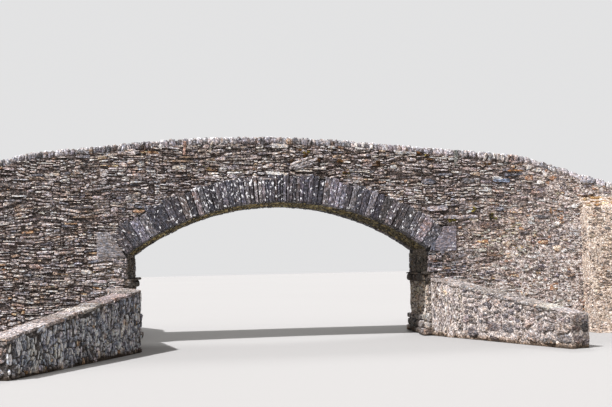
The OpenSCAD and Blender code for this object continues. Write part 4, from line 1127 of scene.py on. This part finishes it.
EDGE_RUN = 1.7
for face in (-1, 1):
    for side in (-1, 1):
        rng = np.random.default_rng(500 + 10 * face + side)
        heap, edge_heap, coat = Heap(), Heap(), Heap()
        mirror = (side, -face)
        flip = np.array([side, -face, 1.0])
        runs = runs_of(face, side)
        for number, ((ox, oy), turn, length, h0, h1) in enumerate(runs):
            a = math.radians(turn)
            along = np.array([math.sin(a), -math.cos(a), 0])
            across = np.array([math.cos(a), math.sin(a), 0])
            origin = np.array([ox, oy, 0.0])
            last = number == len(runs) - 1

            def top(u, length=length, h0=h0, h1=h1):
                return h0 + (h1 - h0) * u / length

            def flat(u):
                return 0.0 * u

            # stones on edge: all of a left wall, and the part of a right one next to the abutment
            edge_run = length if side < 0 else EDGE_RUN
            edge = plane(origin + np.array([0, 0, h0]), (0, 0, -1), along, mirror)
            STONE_COUNT += wall(edge_heap, rng, edge, 0.0, h0, flat, lambda u, length=length, h0=h0, h1=h1, edge_run=edge_run: np.clip((u + 0.001) / max(h0 - h1, 1e-6) * length, 0, edge_run),
                                edge_size, EDGE_TONE_AND_PAINTED_SKYLIGHT if side < 0 else RENDERED, proud=(0.012, 0.055), gap=(0.006, 0.028), turn=0.32, skew=0.24, wave=0.10)
            river = plane(origin, along, (0, 0, 1), mirror)
            if side > 0:
                STONE_COUNT += wall(heap, rng, river, EDGE_RUN, length, flat, top, river_size, RIVER, proud=(0.016, 0.058), gap=(0.016, 0.06), skew=0.16,
                                    cut=(0.26, 0.48), reach=(0.3, 0.7), round_=0.14, other=RENDERED, look=lambda mid: 0.85 * (mid[:, 1] < 0.42) + 0.1)
            thickness = edge_coat if side < 0 else river_coat
            if last:
                # the coat goes round the free end and over the top
                at = np.concatenate([np.linspace(0, length, 92), np.full(8, length), np.linspace(length, 0, 46)])
                over = np.concatenate([np.zeros(92), np.linspace(0, WING_T, 10)[1:-1], np.full(46, WING_T)])
                inner = np.minimum(at, length - WING_T / 2)
                outside = origin + at[:, None] * along + over[:, None] * across
                spine = origin + inner[:, None] * along + WING_T / 2 * across
                upright = np.linspace(0, 1, 26)
                rows = [outside + (top(at) * t)[:, None] * (0, 0, 1) for t in upright]
                for t in (0.3, 0.65, 1.0):
                    rows.append(outside * (1 - t) + spine * t + (top(at) * (1 - t) + top(inner) * t)[:, None] * (0, 0, 1))
                sheet(coat, np.stack(rows, 1) * flip, thickness, river.flip, (1, 1, 0, 0))
            else:
                skin(coat, river, 0.0, length, flat, top, 0.07, thickness, (1, 0, 0, 1))
            # the side to the land, seen the other way round
            start = 0.55 if number == 0 else 0.0
            land = plane(origin + across * WING_T + along * length, -along, (0, 0, 1), mirror)
            STONE_COUNT += wall(heap, rng, land, 0.0, length - start, flat, lambda u, length=length, top=top: top(length - u), river_size, RIVER,
                                proud=(0.012, 0.045), gap=(0.012, 0.04), skew=0.18, cut=(0.2, 0.45), round_=0.12)
            # flags along the top
            joints = [0.02]
            while joints[-1] < length - 0.9:
                joints.append(joints[-1] + rng.uniform(0.4, 0.95))
            joints = np.array(joints + [length + 0.01 * last])
            s0, s1 = joints[:-1] + rng.uniform(0.004, 0.015, len(joints) - 1), joints[1:] - rng.uniform(0.004, 0.015, len(joints) - 1)
            flags = np.zeros((len(s0), 2, 2, 2, 3))
            for i, at in enumerate((s0, s1)):
                for j, t in enumerate((-0.035, WING_T + 0.01)):
                    for k, z in enumerate((-0.055, 0.030)):
                        wander = rng.uniform(-0.025, 0.025, len(s0))
                        flags[:, i, j, k] = origin + at[:, None] * along + (t + wander)[:, None] * across + (top(at) + z + 0.4 * wander)[:, None] * (0, 0, 1)
            blocks(heap, rng, flags * flip, tints(rng, len(s0), FLAGS, 0.15), seg=(5, 5, 2), round_=0.022, rough=0.016, scale=4.0, grain_axes=(0, 2, 1), seed=95)
            if last:
                end = plane(origin + along * length, across, (0, 0, 1), mirror)
                STONE_COUNT += wall(heap, rng, end, 0.0, WING_T, flat, lambda u, h1=h1: h1 + 0.0 * u, river_size, RIVER, proud=(0.012, 0.04), cut=(0.2, 0.45))
        label = ("front" if face < 0 else "back") + ("_left" if side < 0 else "_right")
        heap.clamp(0.0)
        edge_heap.clamp(0.0)
        heap.mesh("river_wall_stones_" + label, river_stone, "river_wall_rubble")
        edge_heap.mesh("river_wall_slabs_" + label, edge_stone, "river_wall_rubble")
        coat.mesh("river_wall_mortar_" + label, edge_mortar if side < 0 else river_mortar, "river_wall_rubble")


# ---------------------------------------------------------------- buttresses
def lime_size(g, u, v):
    return min(max(math.exp(g.normal(math.log(0.22), 0.38)), 0.08), 0.6), min(max(math.exp(g.normal(math.log(0.10), 0.3)), 0.05), 0.24)


for face in (-1, 1):
    for side in (-1, 1):
        rng = np.random.default_rng(600 + 10 * face + side)
        heap, coat = Heap(), Heap()
        mirror = (side, -face)
        slant = math.hypot(BUTT_FOOT - BUTT_OUT, BUTT_Z)
        up = np.array([0, (BUTT_FOOT - BUTT_OUT) / slant, BUTT_Z / slant])
        front = plane((BUTT_X, -HALF_W - BUTT_FOOT, 0), (1, 0, 0), up, mirror)
        form = dict(proud=(0.004, 0.034), gap=(0.006, 0.04), skew=0.25, cut=(0.2, 0.45), reach=(0.2, 0.9), round_=0.10)
        zero = lambda u: 0.0 * u
        STONE_COUNT += wall(heap, rng, front, 0.03, BUTT_W - 0.03, zero, lambda u: slant + 0.0 * u, lime_size, ROUGHCAST, **form)
        levels = np.concatenate([np.linspace(0, BUTT_Z, 68), np.linspace(BUTT_Z, BUTT_Z + CAP_RISE, 9)[1:]])
        deep = np.where(levels < BUTT_Z, BUTT_FOOT - (BUTT_FOOT - BUTT_OUT) * levels / BUTT_Z, BUTT_OUT * (BUTT_Z + CAP_RISE - levels) / CAP_RISE)
        across = np.concatenate([np.zeros(14), np.linspace(0, 1, 36)[1:-1], np.ones(14)])
        share = np.concatenate([np.linspace(0, 1, 14), np.ones(34), np.linspace(1, 0, 14)])
        base = np.stack(np.broadcast_arrays(BUTT_X + BUTT_W * across[:, None], -HALF_W - share[:, None] * deep, levels), -1)
        base = base + 0.028 * noise3(base, 2.6, 33)
        sheet(coat, base * [mirror[0], mirror[1], 1], lime_coat, front.flip, (1, 1, 0, 1))
        cap_len = math.hypot(BUTT_OUT, CAP_RISE)
        cap = plane((BUTT_X, -HALF_W - BUTT_OUT, BUTT_Z), (1, 0, 0), (0, BUTT_OUT / cap_len, CAP_RISE / cap_len), mirror)
        STONE_COUNT += wall(heap, rng, cap, 0.0, BUTT_W, zero, lambda u: cap_len + 0.0 * u, lambda g, u, v: (g.uniform(0.2, 0.5), g.uniform(0.12, 0.3)), DRY, **form)
        for x, u_axis in ((BUTT_X, (0, -1, 0)), (BUTT_X + BUTT_W, (0, 1, 0))):
            # u runs out from the wall on the near side and towards it on the far side
            out_first = u_axis[1] < 0
            o = (x, -HALF_W, 0) if out_first else (x, -HALF_W - BUTT_FOOT, 0)
            flank = plane(o, u_axis, (0, 0, 1), mirror)

            def roof(u, out_first=out_first):
                d = u if out_first else BUTT_FOOT - u
                return np.where(d < BUTT_OUT, BUTT_Z + CAP_RISE * (1 - d / BUTT_OUT), np.maximum(BUTT_Z * (BUTT_FOOT - d) / (BUTT_FOOT - BUTT_OUT), 0.0))

            STONE_COUNT += wall(heap, rng, flank, 0.03, BUTT_FOOT - 0.03, zero, roof, lime_size, ROUGHCAST, **form)
        label = ("front" if face < 0 else "back") + ("_left" if side < 0 else "_right")
        heap.clamp(0.0)
        heap.mesh("buttress_stones_" + label, lime_stone, "lime_rubble")
        coat.mesh("buttress_mortar_" + label, lime_mortar, "lime_rubble")

# ---------------------------------------------------------------- floor, light and camera
bpy.ops.mesh.primitive_plane_add(size=600, location=(0, 0, -0.004))
floor = bpy.context.object
floor.name = "floor"
r = Recipe("floor_paint")
place = r.node("NewGeometry", out=0)
tone = r.noise(place, 0.05, 2.0)
# pale to the camera, and as dark as a river bank to the light it throws back on the bridge
seen_ray = r.math("MAXIMUM", r.node("LightPath", out=0), r.math("MAXIMUM", r.node("LightPath", out="Is Glossy Ray"), r.node("LightPath", out="Is Transmission Ray")))
colour = r.mix(seen_ray, (0.24, 0.23, 0.21, 1), r.mix(tone, (0.286, 0.287, 0.286, 1), (0.303, 0.305, 0.304, 1)))
r.put(r.shader.inputs["Base Color"], colour)
r.shader.inputs["Roughness"].default_value = 0.9
floor.data.materials.append(r.material)

world = bpy.data.worlds.new("studio")
bpy.context.scene.world = world
world.use_nodes = True
tree = world.node_tree
tree.nodes.clear()
out = tree.nodes.new("ShaderNodeOutputWorld")
path = tree.nodes.new("ShaderNodeLightPath")
either, any_of = tree.nodes.new("ShaderNodeMath"), tree.nodes.new("ShaderNodeMath")
mixer = tree.nodes.new("ShaderNodeMixShader")
seen, given = tree.nodes.new("ShaderNodeBackground"), tree.nodes.new("ShaderNodeBackground")
seen.inputs[0].default_value, seen.inputs[1].default_value = (0.765, 0.765, 0.770, 1), 1.0
given.inputs[0].default_value, given.inputs[1].default_value = (0.96, 0.89, 0.85, 1), 0.49
either.operation = any_of.operation = "MAXIMUM"
tree.links.new(path.outputs["Is Glossy Ray"], either.inputs[0])
tree.links.new(path.outputs["Is Transmission Ray"], either.inputs[1])
tree.links.new(path.outputs["Is Camera Ray"], any_of.inputs[0])
tree.links.new(either.outputs[0], any_of.inputs[1])
tree.links.new(any_of.outputs[0], mixer.inputs[0])
tree.links.new(given.outputs[0], mixer.inputs[1])
tree.links.new(seen.outputs[0], mixer.inputs[2])
tree.links.new(mixer.outputs[0], out.inputs[0])


def sun(name, azimuth, elevation, strength, angle, colour):
    """A soft sun. Azimuth 0 shines from the front, 90 from +X."""
    light = bpy.data.lights.new(name, "SUN")
    light.energy, light.angle, light.color = strength, math.radians(angle), colour
    piece = bpy.data.objects.new(name, light)
    a, e = math.radians(azimuth), math.radians(elevation)
    source = Matrix.Rotation(a, 4, "Z") @ Matrix.Rotation(math.pi / 2 - e, 4, "X")
    piece.matrix_world = source
    bpy.context.scene.collection.objects.link(piece)


sun("key", -58, 56, 6.9, 2, (1.0, 0.972, 0.975))
sun("fill", 60, 35, 0.45, 30, (1.0, 0.96, 0.94))
sun("back", 165, 45, 1.2, 15, (1.0, 0.98, 0.97))

YAW, PITCH, ROLL = 0.0987, 0.0704, -0.0223
fwd = np.array([math.sin(YAW) * math.cos(PITCH), math.cos(YAW) * math.cos(PITCH), math.sin(PITCH)])
right = np.array([math.cos(YAW), -math.sin(YAW), 0.0])
up = np.cross(right, fwd)
cam_x = math.cos(ROLL) * right + math.sin(ROLL) * up
cam_y = -math.sin(ROLL) * right + math.cos(ROLL) * up
camera = bpy.data.objects.new("camera", bpy.data.cameras.new("camera"))
camera.data.sensor_width, camera.data.lens = 36.0, 900 / 612 * 36
camera.data.clip_end = 1000
bpy.context.scene.collection.objects.link(camera)
camera.matrix_world = Matrix([[cam_x[i], cam_y[i], -fwd[i], (-2.042, -31.135, 2.359)[i]] for i in range(3)] + [[0, 0, 0, 1]])
bpy.context.scene.camera = camera
bpy.context.scene.view_settings.view_transform = "Standard"

print("stones", STONE_COUNT, "triangles", sum(TRIANGLES.values()), max(TRIANGLES.items(), key=lambda t: t[1]))
